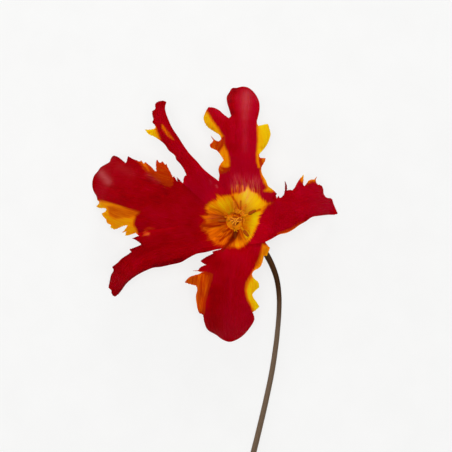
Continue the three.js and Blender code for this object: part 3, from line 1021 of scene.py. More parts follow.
# The yellow heart of the flower, which all six tepals share.
HEART = Marking(0, (
    (200, 215.6), (206, 213.7), (202.9, 207), (207.2, 202.7), (212.4, 198.9), (215.3, 199.8),
    (215.8, 191.7), (221.5, 195), (225.8, 194.6), (231.1, 193.1), (235.4, 190.5), (239, 191.5),
    (245, 189.5), (248.3, 179.5), (251, 189.5), (258.4, 191.5), (261.7, 197.5), (267.5, 201.4),
    (274.5, 202.2), (267.5, 206.5), (262.2, 212.7), (258.8, 218), (259.3, 222.3), (256.9, 229),
    (252.6, 236.7), (248.3, 243.4), (243, 248.1), (238.3, 249.6), (229.7, 248.3), (221.5, 246.9),
    (214, 245.9), (210.5, 241), (206.2, 239.5), (207, 235.6), (202, 230.8), (199.5, 226.5), (203.8, 221.4),
), feather=4)
HEART_WARMTH = 0.67
HEART_FADES = (14, 26)  # radius over which its painted light and stronger streaks fade
HEART_POOLS = (  # plan point, size in mm and strength: yellow above 0, deep orange below
    ((251, 199), 9.5, 1), ((224, 204), 6, 0.68), ((259, 221), 5.4, 1), ((239, 246.5), 4.2, 0.45),
    ((210, 206), 4, 0.35), ((246, 219), 4, 0.15), ((251, 236), 4, 1), ((250, 217), 2.4, -0.3),
    ((249.5, 188), 3.6, 0.5), ((232, 212), 2.2, 0.5), ((205, 230.5), 3, -0.15), ((213, 237), 5, -0.1),
    ((222, 243), 3.6, -0.2), ((207, 221), 4, -0.05),
)
# Dark veins of the heart, and painted shadows of stamens and of tepals that lie over others.
HEART_VEINS_AND_SHADOWS = (
    Stroke(((232.5, 196.5), (236, 202), (239, 207.5), (240.8, 213.5)), 0.7, 0.5),
    Stroke(((241, 201), (240.6, 207), (241, 213)), 0.6, 0.6),
    Stroke(((234.8, 205), (236, 210), (238, 215)), 0.5, 0.3),
    Stroke(((206, 214), (216, 215.2), (221, 216), (226.5, 218)), 0.7, 0.35),
    Stroke(((203, 225.6), (212, 226.3), (220, 225.4)), 0.75, 0.62),
    Stroke(((220, 225.4), (227, 224)), 0.7, 0.4),
    Stroke(((213, 220), (219, 220), (227, 220)), 2.3, 0.37),
    Stroke(((210, 209), (218, 210), (223, 213)), 0.7, 0.25),
    Stroke(((223, 232), (227.5, 230.2), (231, 227.5)), 0.7, 0.4),
    Stroke(((220, 240.5), (226, 236.5), (232, 231.5)), 0.6, 0.5),
    Stroke(((216, 237), (222, 236.5), (226, 233.5)), 0.5, 0.25),
    Stroke(((222, 251), (227, 245.5), (231, 240.5)), 0.8, 0.75),
    Stroke(((231, 240.5), (234, 237), (236.5, 232)), 1.25, 1.2),
    Stroke(((242, 231), (243, 236), (246, 240)), 0.5, 0.3),
    Stroke(((249, 231), (250, 235), (247.5, 239)), 0.5, 0.35),
    Stroke(((249, 213.7), (253, 212.3), (260, 209.5)), 0.6, 0.6),
    Stroke(((238, 233), (240.5, 239)), 1.1, 0.35),
)

VEINS_TURN = (16.0, 26.0)  # radius over which the veins give up the axis for the midrib
VEINS_SPREAD = 20.0  # mm across them to a radian around the axis
VEIN_LENGTH = 60.0  # of every tepal's midrib, as the noises see it
FAN_FOOT = 0.3  # width of the veins' fan at the foot, as a share of its full width
FAN_OPENS = (0.0, 0.5)  # share of the midrib over which it opens
FAN_NARROWS = (0.72, 1.05)  # and over which it narrows again
FAN_LOSS = 0.35  # by this much
VEINS_APART = 7.3  # from one tepal to the next, so that no two are alike
DEEPEST = 12.0  # mm; flames count as no deeper where two of them meet
FLAMES_MIX = 0.8  # mm over which they do
FLAME_OWN = (-0.4, 1.2)  # mm inside a flame over which its own warmth takes over
RIB_FOOT = 5.5  # half width of the rib on the back, in mm, at the foot
RIB_TIP = 1.3  # and at the tip
RIB_NARROWS = (0.1, 0.9)  # share of the midrib over which it narrows
RIB_STRENGTH = 1.15  # at the foot; it loses 1 by the tip
TONES_CHANGE = (0.25, 0.8)  # share of the midrib over which the red changes
WELDED = 1e-5  # mm; points of a drawing nearer than this become one


@dataclass
class Tepal:
    """One tepal: an open surface over its drawing, grown into a thin blade."""

    name: str
    whorl: Whorl
    midrib: Sequence[Point]  # from the flower's axis to the tip
    arch: Sequence[float]  # the midrib's height at equal steps, in mm
    half_width: float  # the width that crown, tilt and fold are given for
    crown: float  # how far the margins drop below the midrib
    tilt: float  # rise of the left margin
    fold: float  # depth of the crease along the midrib
    ruffle: Triple  # height, count and phase of the broad margin waves
    outline: Sequence[Point]
    markings: Sequence[Marking]
    groove: float = 0.25  # depth of the fine channel along the midrib
    seed: int = 1
    tones: Pair = (0.6, 0.5)  # of the red at the heart and at the tip: 0 dark, 0.45 red, 1 rose
    shades: Sequence[Stroke] = ()
    # painted sheen: highlights painted on the velvet
    painted_sheens: Sequence[Stroke] = ()
    fibres: Sequence[Stroke] = ()
    painted_lights: Sequence[Stroke] = ()  # painted light: where it is as bright as in the heart

    thickness: float = 0.42
    rim_thickness: float = 0.16
    taper: float = 2.0  # width of the thinned margin
    spacing: float = 0.62  # between the surface's points
    heart_spacing: float = 0.4  # and in the flower's heart
    heart_radius: float = 22.0
    sharp: float = 1.0  # radians; sharper turns of the outline stay pointed
    fullness: float = 0.25  # how far the margin lies outside the drawing
    narrow: float = 1.5  # but not where the blade is narrower than this
    frill: float = 0.75  # height of the fine waves at a ragged margin
    frill_length: float = 6.5  # from wave to wave
    frill_reach: float = 2.4  # how far they run in
    roll: float = 1.3  # how far a smooth margin turns down
    swell: float = 0.28  # height of the broad unevenness
    swells: Sequence[float] = (9.0, 6.0, 4.5, 3.0)  # sizes of its bumps
    margin: float = 0.8  # reach of the darker margin, partly its own colour and partly painted shade
    margin_from: Pair = (0.3, 1.8)  # mm from the next tepal over which it sets in
    lift: Pair = (0.38, 0.66)  # share of the midrib over which crown, tilt, fold and ruffle set in
    settle: Triple = (0.75, 1.0, 0.6)  # and over which that much of them dies away again
    lag: float = 1.3  # radians by which one margin's ruffle goes before the other's
    loose: Pair = (26.0, 40.0)  # radius over which frill, roll, swell and groove set in
    roll_reach: float = 1.3
    groove_width: float = 1.3
    wander: Sequence[Pair] = ((1.4, 5.3), (0.9, 2.9))  # radians and mm by which the frill is uneven
    fray: float = 0.07  # unevenness of a ragged margin
    jitter: float = 0.1  # of the surface's points, as a share of their spacing
    corner_reach: float = 4.5  # how far a sharp corner makes the margin ragged
    bends: Pair = (0.3, 0.75)  # radians of mean bend over which it turns ragged
    rib_samples: int = 1200  # points of the midrib's curve
    rib_steps: int = 560  # and of the line that is measured against
    rib_reach: float = 1.1  # length of that line as a share of the midrib's
    tip_samples: int = 8  # points whose direction goes on past the tip
    outset: int = 40  # point of that line whose direction from the axis is the tepal's

    def rib_line(self) -> tuple[Rows, Rows, float]:
        """The midrib at equal steps, run on past the tip.

        Returns:
            Its points, the share of its length at each, and its length in mm.
        """
        dense = spline(plan_points(self.midrib), np.linspace(0, 1, self.rib_samples))
        length = float(travelled(dense)[-1])
        share = np.linspace(0, self.rib_reach, self.rib_steps)
        line = read_along(dense, np.minimum(share, 1.0) * length)
        onward = dense[-1] - dense[-self.tip_samples]
        onward /= np.linalg.norm(onward)
        return line + np.maximum(share - 1, 0)[:, None] * length * onward, share, length

    def located(self, plan: Rows) -> tuple[Rows, Rows]:
        """Where plan positions lie along and beside the midrib.

        Args:
            plan: Rows of x and y in mm.

        Returns:
            The share of the midrib's length, and the offset to its left in mm.
        """
        line, share, length = self.rib_line()
        heading = np.gradient(line, axis=0)
        heading /= np.linalg.norm(heading, axis=1)[:, None]
        apart = plan[:, None, :] - line[None, :, :]
        nearest = (apart ** 2).sum(2).argmin(1)
        rest = plan - line[nearest]
        ahead = heading[nearest]
        along = share[nearest] + (rest * ahead).sum(1) / length
        return along, ahead[:, 0] * rest[:, 1] - ahead[:, 1] * rest[:, 0]

    def start(self) -> float:
        """Radius at which this tepal leaves the receptacle, in mm."""
        return BOWL_RADIUS + self.whorl.value[0]

    def height(self, plan: Rows, share: Rows, offset: Rows) -> Rows:
        """Height of the tepal's broad shape.

        Args:
            plan: Rows of x and y in mm.
            share: Where each row lies along the midrib.
            offset: How far it lies to the midrib's left, in mm.

        Returns:
            A height in mm for each row.
        """
        radius = np.linalg.norm(plan - AXIS_POINT, axis=1)
        side = offset / self.half_width
        wave_height, waves, phase = self.ruffle
        wave = np.sin(math.tau * waves * share + phase + self.lag * np.sign(side))
        section = self.tilt * side - self.crown * side ** 2 - self.fold * np.abs(side)
        section += wave_height * side ** 2 * wave
        start, end, loss = self.settle
        lifted = smoothstep(share, *self.lift) * (1 - loss * smoothstep(share, start, end))
        own = even_curve(self.arch, share) + lifted * section
        set_back, drop = self.whorl.value
        bowl = BOWL_FLOOR + BOWL_RISE * (1 - np.exp((BOWL_RADIUS + set_back - radius) / BOWL_REACH)) - drop
        return bowl + (own - bowl) * smoothstep(radius, FREE_FROM, FREE_BY)

    def drawn(self, luck: np.random.Generator) -> Rows:
        """The outline, rounded, frayed a little where it is ragged, and cut at the base.

        Args:
            luck: Source of the fraying.

        Returns:
            Rows of x and y in mm, around the tepal to the left.
        """
        outline = plan_points(self.outline)
        x, y = outline.T
        if (x * np.roll(y, -1) - np.roll(x, -1) * y).sum() < 0:
            outline = outline[::-1]
        dense = rounded(outline, self.spacing, self.sharp)
        along = np.roll(dense, -1, axis=0) - np.roll(dense, 1, axis=0)
        along /= np.maximum(np.linalg.norm(along, axis=1), TINY)[:, None]
        sideways = np.stack([along[:, 1], -along[:, 0]], 1)
        fray = luck.normal(0, 1, len(dense))
        fray -= beside(fray)
        broad = inside(dense - sideways * self.narrow, dense).astype(float)
        for _ in range(3):
            broad = (broad + beside(broad)) / 2
        shift = self.fullness * broad + self.fray * fray * self.ragged(dense)
        return trimmed(dense + sideways * shift[:, None], AXIS_POINT, self.start(), self.spacing)

    def ragged(self, dense: Rows) -> Rows:
        """How ragged the drawing is near points of its outline.

        Args:
            dense: Rows of x and y in mm.

        Returns:
            For each row, 0 where it is smooth to 1 where it is fringed.
        """
        corners = plan_points(self.outline)
        gap = np.linalg.norm(dense[:, None, :] - corners[None, :, :], axis=2)
        weight = np.exp(-(gap / self.corner_reach) ** 2)
        bend = (weight * np.abs(turning(corners))).sum(1) / np.maximum(weight.sum(1), TINY)
        return smoothstep(bend, *self.bends)

    def surface(self, luck: np.random.Generator) -> tuple[Rows, Rows, int]:
        """Fills the outline with triangles.

        Args:
            luck: Source of the points' unevenness.

        Returns:
            The plan positions, the triangles, and how many positions are on the outline.
        """
        outline = self.drawn(luck)
        low, high = outline.min(0), outline.max(0)
        fillings = []
        for step, near in ((self.spacing, False), (self.heart_spacing, True)):
            rows = np.arange(low[1], high[1], step * math.sqrt(3) / 2)
            x, y = np.meshgrid(np.arange(low[0], high[0], step), rows)
            x = x + (np.arange(len(x)) % 2)[:, None] * step / 2
            filling = np.stack([x.ravel(), y.ravel()], 1)
            filling += luck.uniform(-self.jitter, self.jitter, filling.shape) * step
            radius = np.linalg.norm(filling - AXIS_POINT, axis=1)
            filling = filling[(radius < self.heart_radius) == near]
            fillings.append(filling[depth_inside(filling, outline) > step / 2])
        sides = [(i, (i + 1) % len(outline)) for i in range(len(outline))]
        points = [Vector(point) for point in np.vstack([outline, *fillings]).tolist()]
        found = delaunay_2d_cdt(points, sides, [], 1, WELDED, False)
        plan, triangles = np.array([tuple(v) for v in found[0]]), np.array(found[2])
        kept = inside(plan[triangles].mean(1), outline)
        return plan, triangles[kept], len(outline)

    def shape(self, others: Sequence[Rows]) -> tuple[Rows, Rows, dict[str, Rows]]:
        """The tepal's middle surface.

        Args:
            others: The other tepals' outlines, rows of x and y in mm.

        Returns:
            Rows of x, y and z in mm, the triangles, and what the finishes read at each point.
        """
        luck = np.random.default_rng(self.seed)
        plan, triangles, border = self.surface(luck)
        share, offset = self.located(plan)
        sides = np.vstack([triangles[:, [0, 1]], triangles[:, [1, 2]], triangles[:, [2, 0]]])
        edges = np.unique(np.sort(sides, 1), axis=0)
        rim = plan[:border]
        along, ragged = travelled(rim), self.ragged(rim)
        phase = math.tau * along / self.frill_length
        for turn, (size, length) in enumerate(self.wander, 1):
            phase += size * np.sin(along / length + turn * self.seed)
        frill = ragged * self.frill * np.sin(phase)
        roll = -(1 - ragged) * self.roll
        detail = spread_inwards(frill, edges, len(plan), self.spacing, self.frill_reach)
        detail += spread_inwards(roll, edges, len(plan), self.spacing, self.roll_reach)
        swells = sum(np.sin(plan @ luck.normal(0, 1, 2) / size + luck.uniform(0, math.tau))
                     for size in self.swells)
        detail += self.swell * swells / 2 - self.groove * np.exp(-(offset / self.groove_width) ** 2)
        loose = smoothstep(np.linalg.norm(plan - AXIS_POINT, axis=1), *self.loose)
        height = self.height(plan, share, offset) + detail * loose
        height = np.maximum(height, self.rim_thickness / 2 + CLEARANCE)
        free = [smoothstep(-depth_inside(rim, other), *self.margin_from) for other in others]
        # the darker margin, partly painted shade, only where the rim lies clear of the other tepals
        margin = spread_inwards(np.min(free, axis=0), edges, len(plan), self.spacing, self.margin)
        notes = {"edge": distance_to(plan, rim) * MM, "margin": margin, **self.notes(plan, share, offset)}
        return place(plan, height), triangles, notes

    def notes(self, plan: Rows, share: Rows, offset: Rows) -> dict[str, Rows]:
        """What the finishes read at each point, besides its place at the margin.

        Args:
            plan: Rows of x and y in mm.
            share: Where each row lies along the midrib.
            offset: How far it lies to the midrib's left, in mm.

        Returns:
            Attribute names and their values.
        """
        radius = np.linalg.norm(plan - AXIS_POINT, axis=1)
        heart = 1 - smoothstep(radius, *HEART_FADES)
        rib_width = RIB_FOOT - (RIB_FOOT - RIB_TIP) * smoothstep(share, *RIB_NARROWS)
        return {
            "vein": self.veins(plan, share, offset),
            **self.flames(plan),
            "tone": np.interp(smoothstep(share, *TONES_CHANGE), (0, 1), self.tones),
            "shade": stroked(plan, self.shades),
            # the heart, where the colours are painted brighter, and the painted lights
            "heart": np.maximum(heart, stroked(plan, self.painted_lights)),
            "vein_and_shadow": stroked(plan, HEART_VEINS_AND_SHADOWS),
            "painted_sheen": stroked(plan, self.painted_sheens),
            "fibre": stroked(plan, self.fibres),
            "rib": np.exp(-(offset / rib_width) ** 2) * (RIB_STRENGTH - share),
        }

    def veins(self, plan: Rows, share: Rows, offset: Rows) -> Rows:
        """How each point lies to the veins, which spread from the axis and then follow the midrib.

        Args:
            plan: Rows of x and y in mm.
            share: Where each row lies along the midrib.
            offset: How far it lies to the midrib's left, in mm.

        Returns:
            Rows of the place along the veins, across them, and the tepal's own number.
        """
        apart = plan - AXIS_POINT
        ahead = self.rib_line()[0][self.outset] - AXIS_POINT
        turn = wrapped(np.arctan2(apart[:, 1], apart[:, 0]) - math.atan2(ahead[1], ahead[0]))
        fan = FAN_FOOT + (1 - FAN_FOOT) * smoothstep(share, *FAN_OPENS)
        fan -= FAN_LOSS * smoothstep(share, *FAN_NARROWS)
        away = smoothstep(np.linalg.norm(apart, axis=1), *VEINS_TURN)
        across = VEINS_SPREAD * turn * (1 - away) + offset / fan * away
        return np.stack([share * VEIN_LENGTH, across, np.full(len(share), VEINS_APART * self.seed)], 1)

    def flames(self, plan: Rows) -> dict[str, Rows]:
        """How deep each point lies in a flame, and how warm and frayed the flame is there.

        Args:
            plan: Rows of x and y in mm.

        Returns:
            The attributes patch, warm and feather.
        """
        marks = (HEART, *self.markings)
        depths = np.stack([depth_inside(plan, plan_points(mark.outline)) for mark in marks])
        weights = np.exp(np.clip(depths, -DEEPEST, DEEPEST) / FLAMES_MIX)
        weights /= weights.sum(0)
        pools = [strength * np.exp(-(np.linalg.norm(plan - plan_points([spot])[0], axis=1) / size) ** 2)
                 for spot, size, strength in HEART_POOLS]
        warmths = [HEART_WARMTH * (1 - np.minimum(np.sum(pools, axis=0), 1.0))]
        warmths += [np.full(len(plan), mark.warmth) for mark in self.markings]
        warm = (weights * np.stack(warmths)).sum(0)
        for depth, warmth in zip(depths[1:], warmths[1:]):
            warm += (warmth - warm) * smoothstep(depth, *FLAME_OWN)
        feathers = np.array([mark.feather for mark in marks])
        covers = np.array([mark.cover for mark in marks])
        return {
            "patch": np.minimum(depths, covers[:, None]).max(0),
            "warm": warm,
            "feather": (weights * feathers[:, None]).sum(0),
        }

    def build(self, others: Sequence[Rows], blade: BladeTree, face: Material, back: Material) -> Piece:
        """Makes the tepal and puts it in place of its solid.

        Args:
            others: The other tepals' outlines, rows of x and y in mm.
            blade: The tree that gives a surface its thickness.
            face: Finish of the upper side.
            back: Finish of the under side.

        Returns:
            The finished piece.
        """
        points, triangles, notes = self.shape(others)
        piece = mesh_piece(f"{self.name}_blade", points, triangles)
        annotate(piece.data, **notes)
        blade.grow(piece, Thickness=self.thickness * MM, Rim_Thickness=self.rim_thickness * MM,
                   Taper=self.taper * MM, Face=face, Back=back)
        return settled(piece, "tepal", self.name)


def neighbour_sum(values: Rows, edges: Rows) -> Rows:
    """For each point, the sum of the values of the points that it is joined to."""
    total = np.bincount(edges[:, 0], values[edges[:, 1]], len(values))
    return total + np.bincount(edges[:, 1], values[edges[:, 0]], len(values))


def spread_inwards(rim: Rows, edges: Rows, count: int, spacing: float, reach: float) -> Rows:
    """Lets values at the rim of a surface die away towards its middle.

    Args:
        rim: Values at the first points, which are on the rim.
        edges: Pairs of joined points.
        count: Number of points.
        spacing: Usual distance between joined points, in mm.
        reach: Distance over which the values die away, in mm.

    Returns:
        A value for each point.
    """
    keep = 1 / (1 + (spacing / (2 * reach)) ** 2)
    joined = np.maximum(np.bincount(edges.ravel(), minlength=count), 1)
    values = np.zeros(count)
    values[: len(rim)] = rim
    for _ in range(int(9 * reach / spacing) + 12):  # enough for the values to reach in and settle
        values = keep * neighbour_sum(values, edges) / joined
        values[: len(rim)] = rim
    return values


def ridges(mesh: bpy.types.Mesh, rounds: int = 14, full: float = 0.12) -> Rows:
    """How far each point of a mesh stands proud of its surroundings.

    Args:
        mesh: A fine, even mesh.
        rounds: How far around each point to look, in edges.
        full: Height in mm that counts as 1.

    Returns:
        A value for each point, 1 on a level ridge and below 0 in a hollow or on a steep side, where painted
        shade goes.
    """
    points, normals = np.empty(len(mesh.vertices) * 3), np.empty(len(mesh.vertices) * 3)
    pairs = np.empty(len(mesh.edges) * 2, np.int32)
    mesh.vertices.foreach_get("co", points)
    mesh.vertices.foreach_get("normal", normals)
    mesh.edges.foreach_get("vertices", pairs)
    points, normals, pairs = points.reshape(-1, 3), normals.reshape(-1, 3), pairs.reshape(-1, 2)
    joined = np.bincount(pairs.ravel(), minlength=len(points))[:, None]
    even = points
    for _ in range(rounds):
        even = np.stack([neighbour_sum(column, pairs) for column in even.T], 1) / joined
    proud = np.clip(((points - even) * normals).sum(1) / (full * MM), -1, 1)
    # steep sides count as low, so the painted shade covers them too
    return proud - 1.1 * (1 - np.abs(normals[:, 2]))


def settled(piece: Piece, slot: str, *nodes: str) -> Piece:
    """Lets a finished piece ride on the flower and stand for its solids.

    Args:
        piece: The piece.
        slot: What kind of piece it is; not used.
        nodes: The solids' names.

    Returns:
        The same piece.
    """
    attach(piece, BODY)
    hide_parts(*nodes)
    return piece


# ---- stem


@dataclass
class Stem:
    """The stem with the receptacle that ends it, and its cut end."""

    route: Sequence[Triple]  # plan point and height of its middle, from the receptacle down
    radii: Sequence[float]  # in mm, at equal steps
    clear: float = 0.04  # between it and the surface that it lies on
    hidden: float = 0.3  # height of the part that goes up inside the receptacle
    ribs: float = 7.0
    rib_depth: float = 0.025
    unevenness: float = 0.12
    seed: float = 3.0
    fresh: Pair = (3.0, 16.0)  # height in mm over which it turns green
    crown: Pair = (21.4, 22.4)  # and over which it takes the tepals' colour
    faded: Pair = (60.0, 90.0)  # mm from the top over which it turns pale
    steps: int = 260
    sides: int = 28
    receptacle: Sequence[Pair] = (  # radius and height, from the top down
        (0.05, 22.95), (2.4, 23.0), (4.4, 23.15), (5.4, 23.2), (5.9, 22.9), (6.4, 22.4), (7.0, 21.7),
        (7.25, 21.3), (7.0, 21.02), (6.0, 20.88), (5.0, 20.65), (4.0, 20.28), (3.2, 19.85), (2.6, 19.35),
        (2.15, 18.8), (1.9, 18.2),
    )
    cut_end: Sequence[Pair] = (  # share of the radius, and mm beyond the stem's end
        (1.0, 0.02), (0.94, 0.07), (0.8, 0.02), (0.5, -0.02), (0.2, -0.02),
    )

    def build(self, tube: TubeTree, finish: StemFinish) -> Piece:
        """Makes the stem and puts it in place of its solid.

        Args:
            tube: The tree that grows a tube.
            finish: Its finish.

        Returns:
            The finished piece.
        """
        plan = plan_points([(x, y) for x, y, _ in self.route])
        stations = place(plan, np.array([z for _, _, z in self.route]))
        line = flowing_route(stations, self.steps)
        girth = even_curve(self.radii, np.linspace(0, 1, self.steps + 1))
        line[:, 2] = np.maximum(line[:, 2], girth + self.clear)
        below = line[:, 2] < self.receptacle[-1][1] - self.hidden
        head = np.array([around_axis(0, 0, z) for _, z in self.receptacle])
        onward = line[-1] - line[-2]
        onward /= np.linalg.norm(onward)
        shares, beyond = np.array(self.cut_end).T
        route = np.vstack([head, line[below], line[-1] + np.outer(beyond, onward)])
        radii = [[radius for radius, _ in self.receptacle], girth[below], girth[-1] * shares]
        piece = line_piece("stem_rod", route, np.concatenate(radii))
        rim = np.concatenate([np.zeros(len(route) - len(shares)), shares])
        cut = (rim > 0).astype(float)
        annotate(piece.data, cut=cut, rim=rim, fresh=smoothstep(route[:, 2], *self.fresh),
                 faded=smoothstep(travelled(route), *self.faded), crown=smoothstep(route[:, 2], *self.crown))
        tube.grow(piece, Sides=self.sides, Ribs=self.ribs, Rib_Depth=self.rib_depth * MM,
                  Unevenness=self.unevenness * MM, Seed=self.seed, Material=finish.material())
        return settled(piece, "stem", "stem")


# ---- pistil and stamens


@dataclass
class Pistil:
    """A three-angled ovary under a stigma of three folded crests, grown into one."""

    foot: float = RECEPTACLE_TOP + 0.3
    profile: Sequence[Pair] = ((0.0, 1.9), (0.12, 2.3), (0.45, 2.6), (0.7, 2.35), (0.88, 1.75), (1.0, 1.5))
    top: float = 37.0
    crest_height: float = 38.0
    crests: Sequence[tuple[float, float, float, float]] = (  # direction, middle, half length, half width
        (12.0, 1.85, 1.45, 1.5), (163.0, 2.0, 1.5, 1.05), (245.0, 1.9, 1.35, 1.1),
    )
    crest_tube: float = 0.4
    crest_sides: int = 12
    unevenness: float = 0.1
    pad_height: float = 37.55  # of the tissue that fills a crest
    pad_thickness: float = 0.5
    pad_width: float = 0.85  # as a share of the crest's
    pad_slope: float = 0.3  # radians by which it falls outwards
    rings: int = 26
    sides: int = 36
    angles: float = 0.10  # how far the ovary's three angles stand out, as a share of its radius
    voxel: float = 0.16
    grain: float = 0.045
    grain_gap: float = 0.16
    seed: int = 5
    first_angle: float = 15.0  # direction of one of the ovary's angles, in degrees
    pinch: Pair = (0.68, 0.32)  # share of a crest's width in its middle, and how much more at its outer end
    droop: Pair = (0.14, 0.6)  # how fast it bends down, and from how many mm out
    wave: Pair = (0.09, 5.0)  # height in mm and number of its waves
    lumps: Pair = (0.2, 4.0)  # share by which its tube swells, and how often
    bare: float = 0.4  # height above the ovary's top from which grains grow

    def body(self) -> Piece:
        """Makes the ovary, three-angled and closed at both ends.

        Returns:
            Its object, without a finish.
        """
        turn = np.linspace(0, math.tau, self.sides, endpoint=False)
        angled = 1 + self.angles * np.cos(3 * (turn - math.radians(self.first_angle)))
        points = []
        for share in np.linspace(0, 1, self.rings):
            middle = around_axis(0, 0, self.foot + (self.top - self.foot) * share)
            radius = np.interp(share, *np.array(self.profile).T) * angled
            points.extend(middle + np.stack([radius * np.cos(turn), radius * np.sin(turn), 0 * turn], 1))
        return mesh_piece("pistil_body", np.array(points), ring_faces(self.rings, self.sides))

    def crest(self, angle: float, middle: float, length: float, width: float, tube: TubeTree) -> Piece:
        """Makes one crest of the stigma: a drooping loop.

        Args:
            angle: Its direction in degrees.
            middle: Distance of its middle from the axis.
            length: Half its length.
            width: Half its width.
            tube: The tree that grows a tube.

        Returns:
            The crest.
        """
        out = towards(angle)
        turn = np.linspace(0, math.tau, self.sides, endpoint=False)
        ahead = middle + length * np.cos(turn)
        (side, more), (drop, start) = self.pinch, self.droop
        (lift, waves), (swell, lumps) = self.wave, self.lumps
        sideways = width * np.sin(turn) * (side + more * np.cos(turn))
        route = around_axis(angle, 0, self.crest_height)
        route = route + np.outer(ahead, out) + np.outer(sideways, left_of(out))
        route[:, 2] += lift * np.sin(waves * turn + angle) - drop * (ahead - start) ** 2
        girth = self.crest_tube * (1 + swell * np.cos(lumps * turn + angle))
        piece = line_piece("crest", route, girth, closed=True)
        return tube.grow(piece, Sides=self.crest_sides, Ribs=0.0, Rib_Depth=0.0,
                         Unevenness=self.unevenness * MM, Seed=angle)

    def build(self, tube: TubeTree, grains: GrainTree, flesh: Material, fuzz: Material) -> Piece:
        """Makes the pistil and puts it in place of its solid.

        Args:
            tube: The tree that grows a tube.
            grains: The tree that scatters grains.
            flesh: Finish of the body.
            fuzz: Finish of the stigma's papillae.

        Returns:
            The finished piece.
        """
        shape = bmesh.new()
        for part in [self.body()] + [self.crest(*crest, tube) for crest in self.crests]:
            shape.from_mesh(part.data)
            bpy.data.objects.remove(part)
        for angle, middle, length, width in self.crests:
            size = Vector((length, self.pad_width * width, self.pad_thickness)) * MM
            spot = Vector(around_axis(angle, middle, self.pad_height)) * MM
            matrix = Matrix.LocRotScale(spot, Euler((0.0, self.pad_slope, math.radians(angle))), size)
            bmesh.ops.create_icosphere(shape, subdivisions=3, radius=1.0, matrix=matrix)
        mesh = bpy.data.meshes.new("pistil_column")
        shape.to_mesh(mesh)
        shape.free()
        piece = in_scene("pistil_column", mesh)
        remesh = piece.modifiers.new("union", "REMESH")
        remesh.mode = "VOXEL"
        remesh.voxel_size = self.voxel * MM
        smooth = piece.modifiers.new("smooth", "SMOOTH")
        smooth.factor = 0.5
        smooth.iterations = 3
        made_plain(piece)
        annotate(piece.data, ridge=ridges(piece.data))
        grains.grow(piece, Grain_Size=self.grain * MM, Gap=self.grain_gap * MM,
                    Lowest=(self.top + self.bare) * MM, Seed=self.seed, Flesh=flesh, Grain=fuzz)
        return settled(piece, "pistil", "pistil")


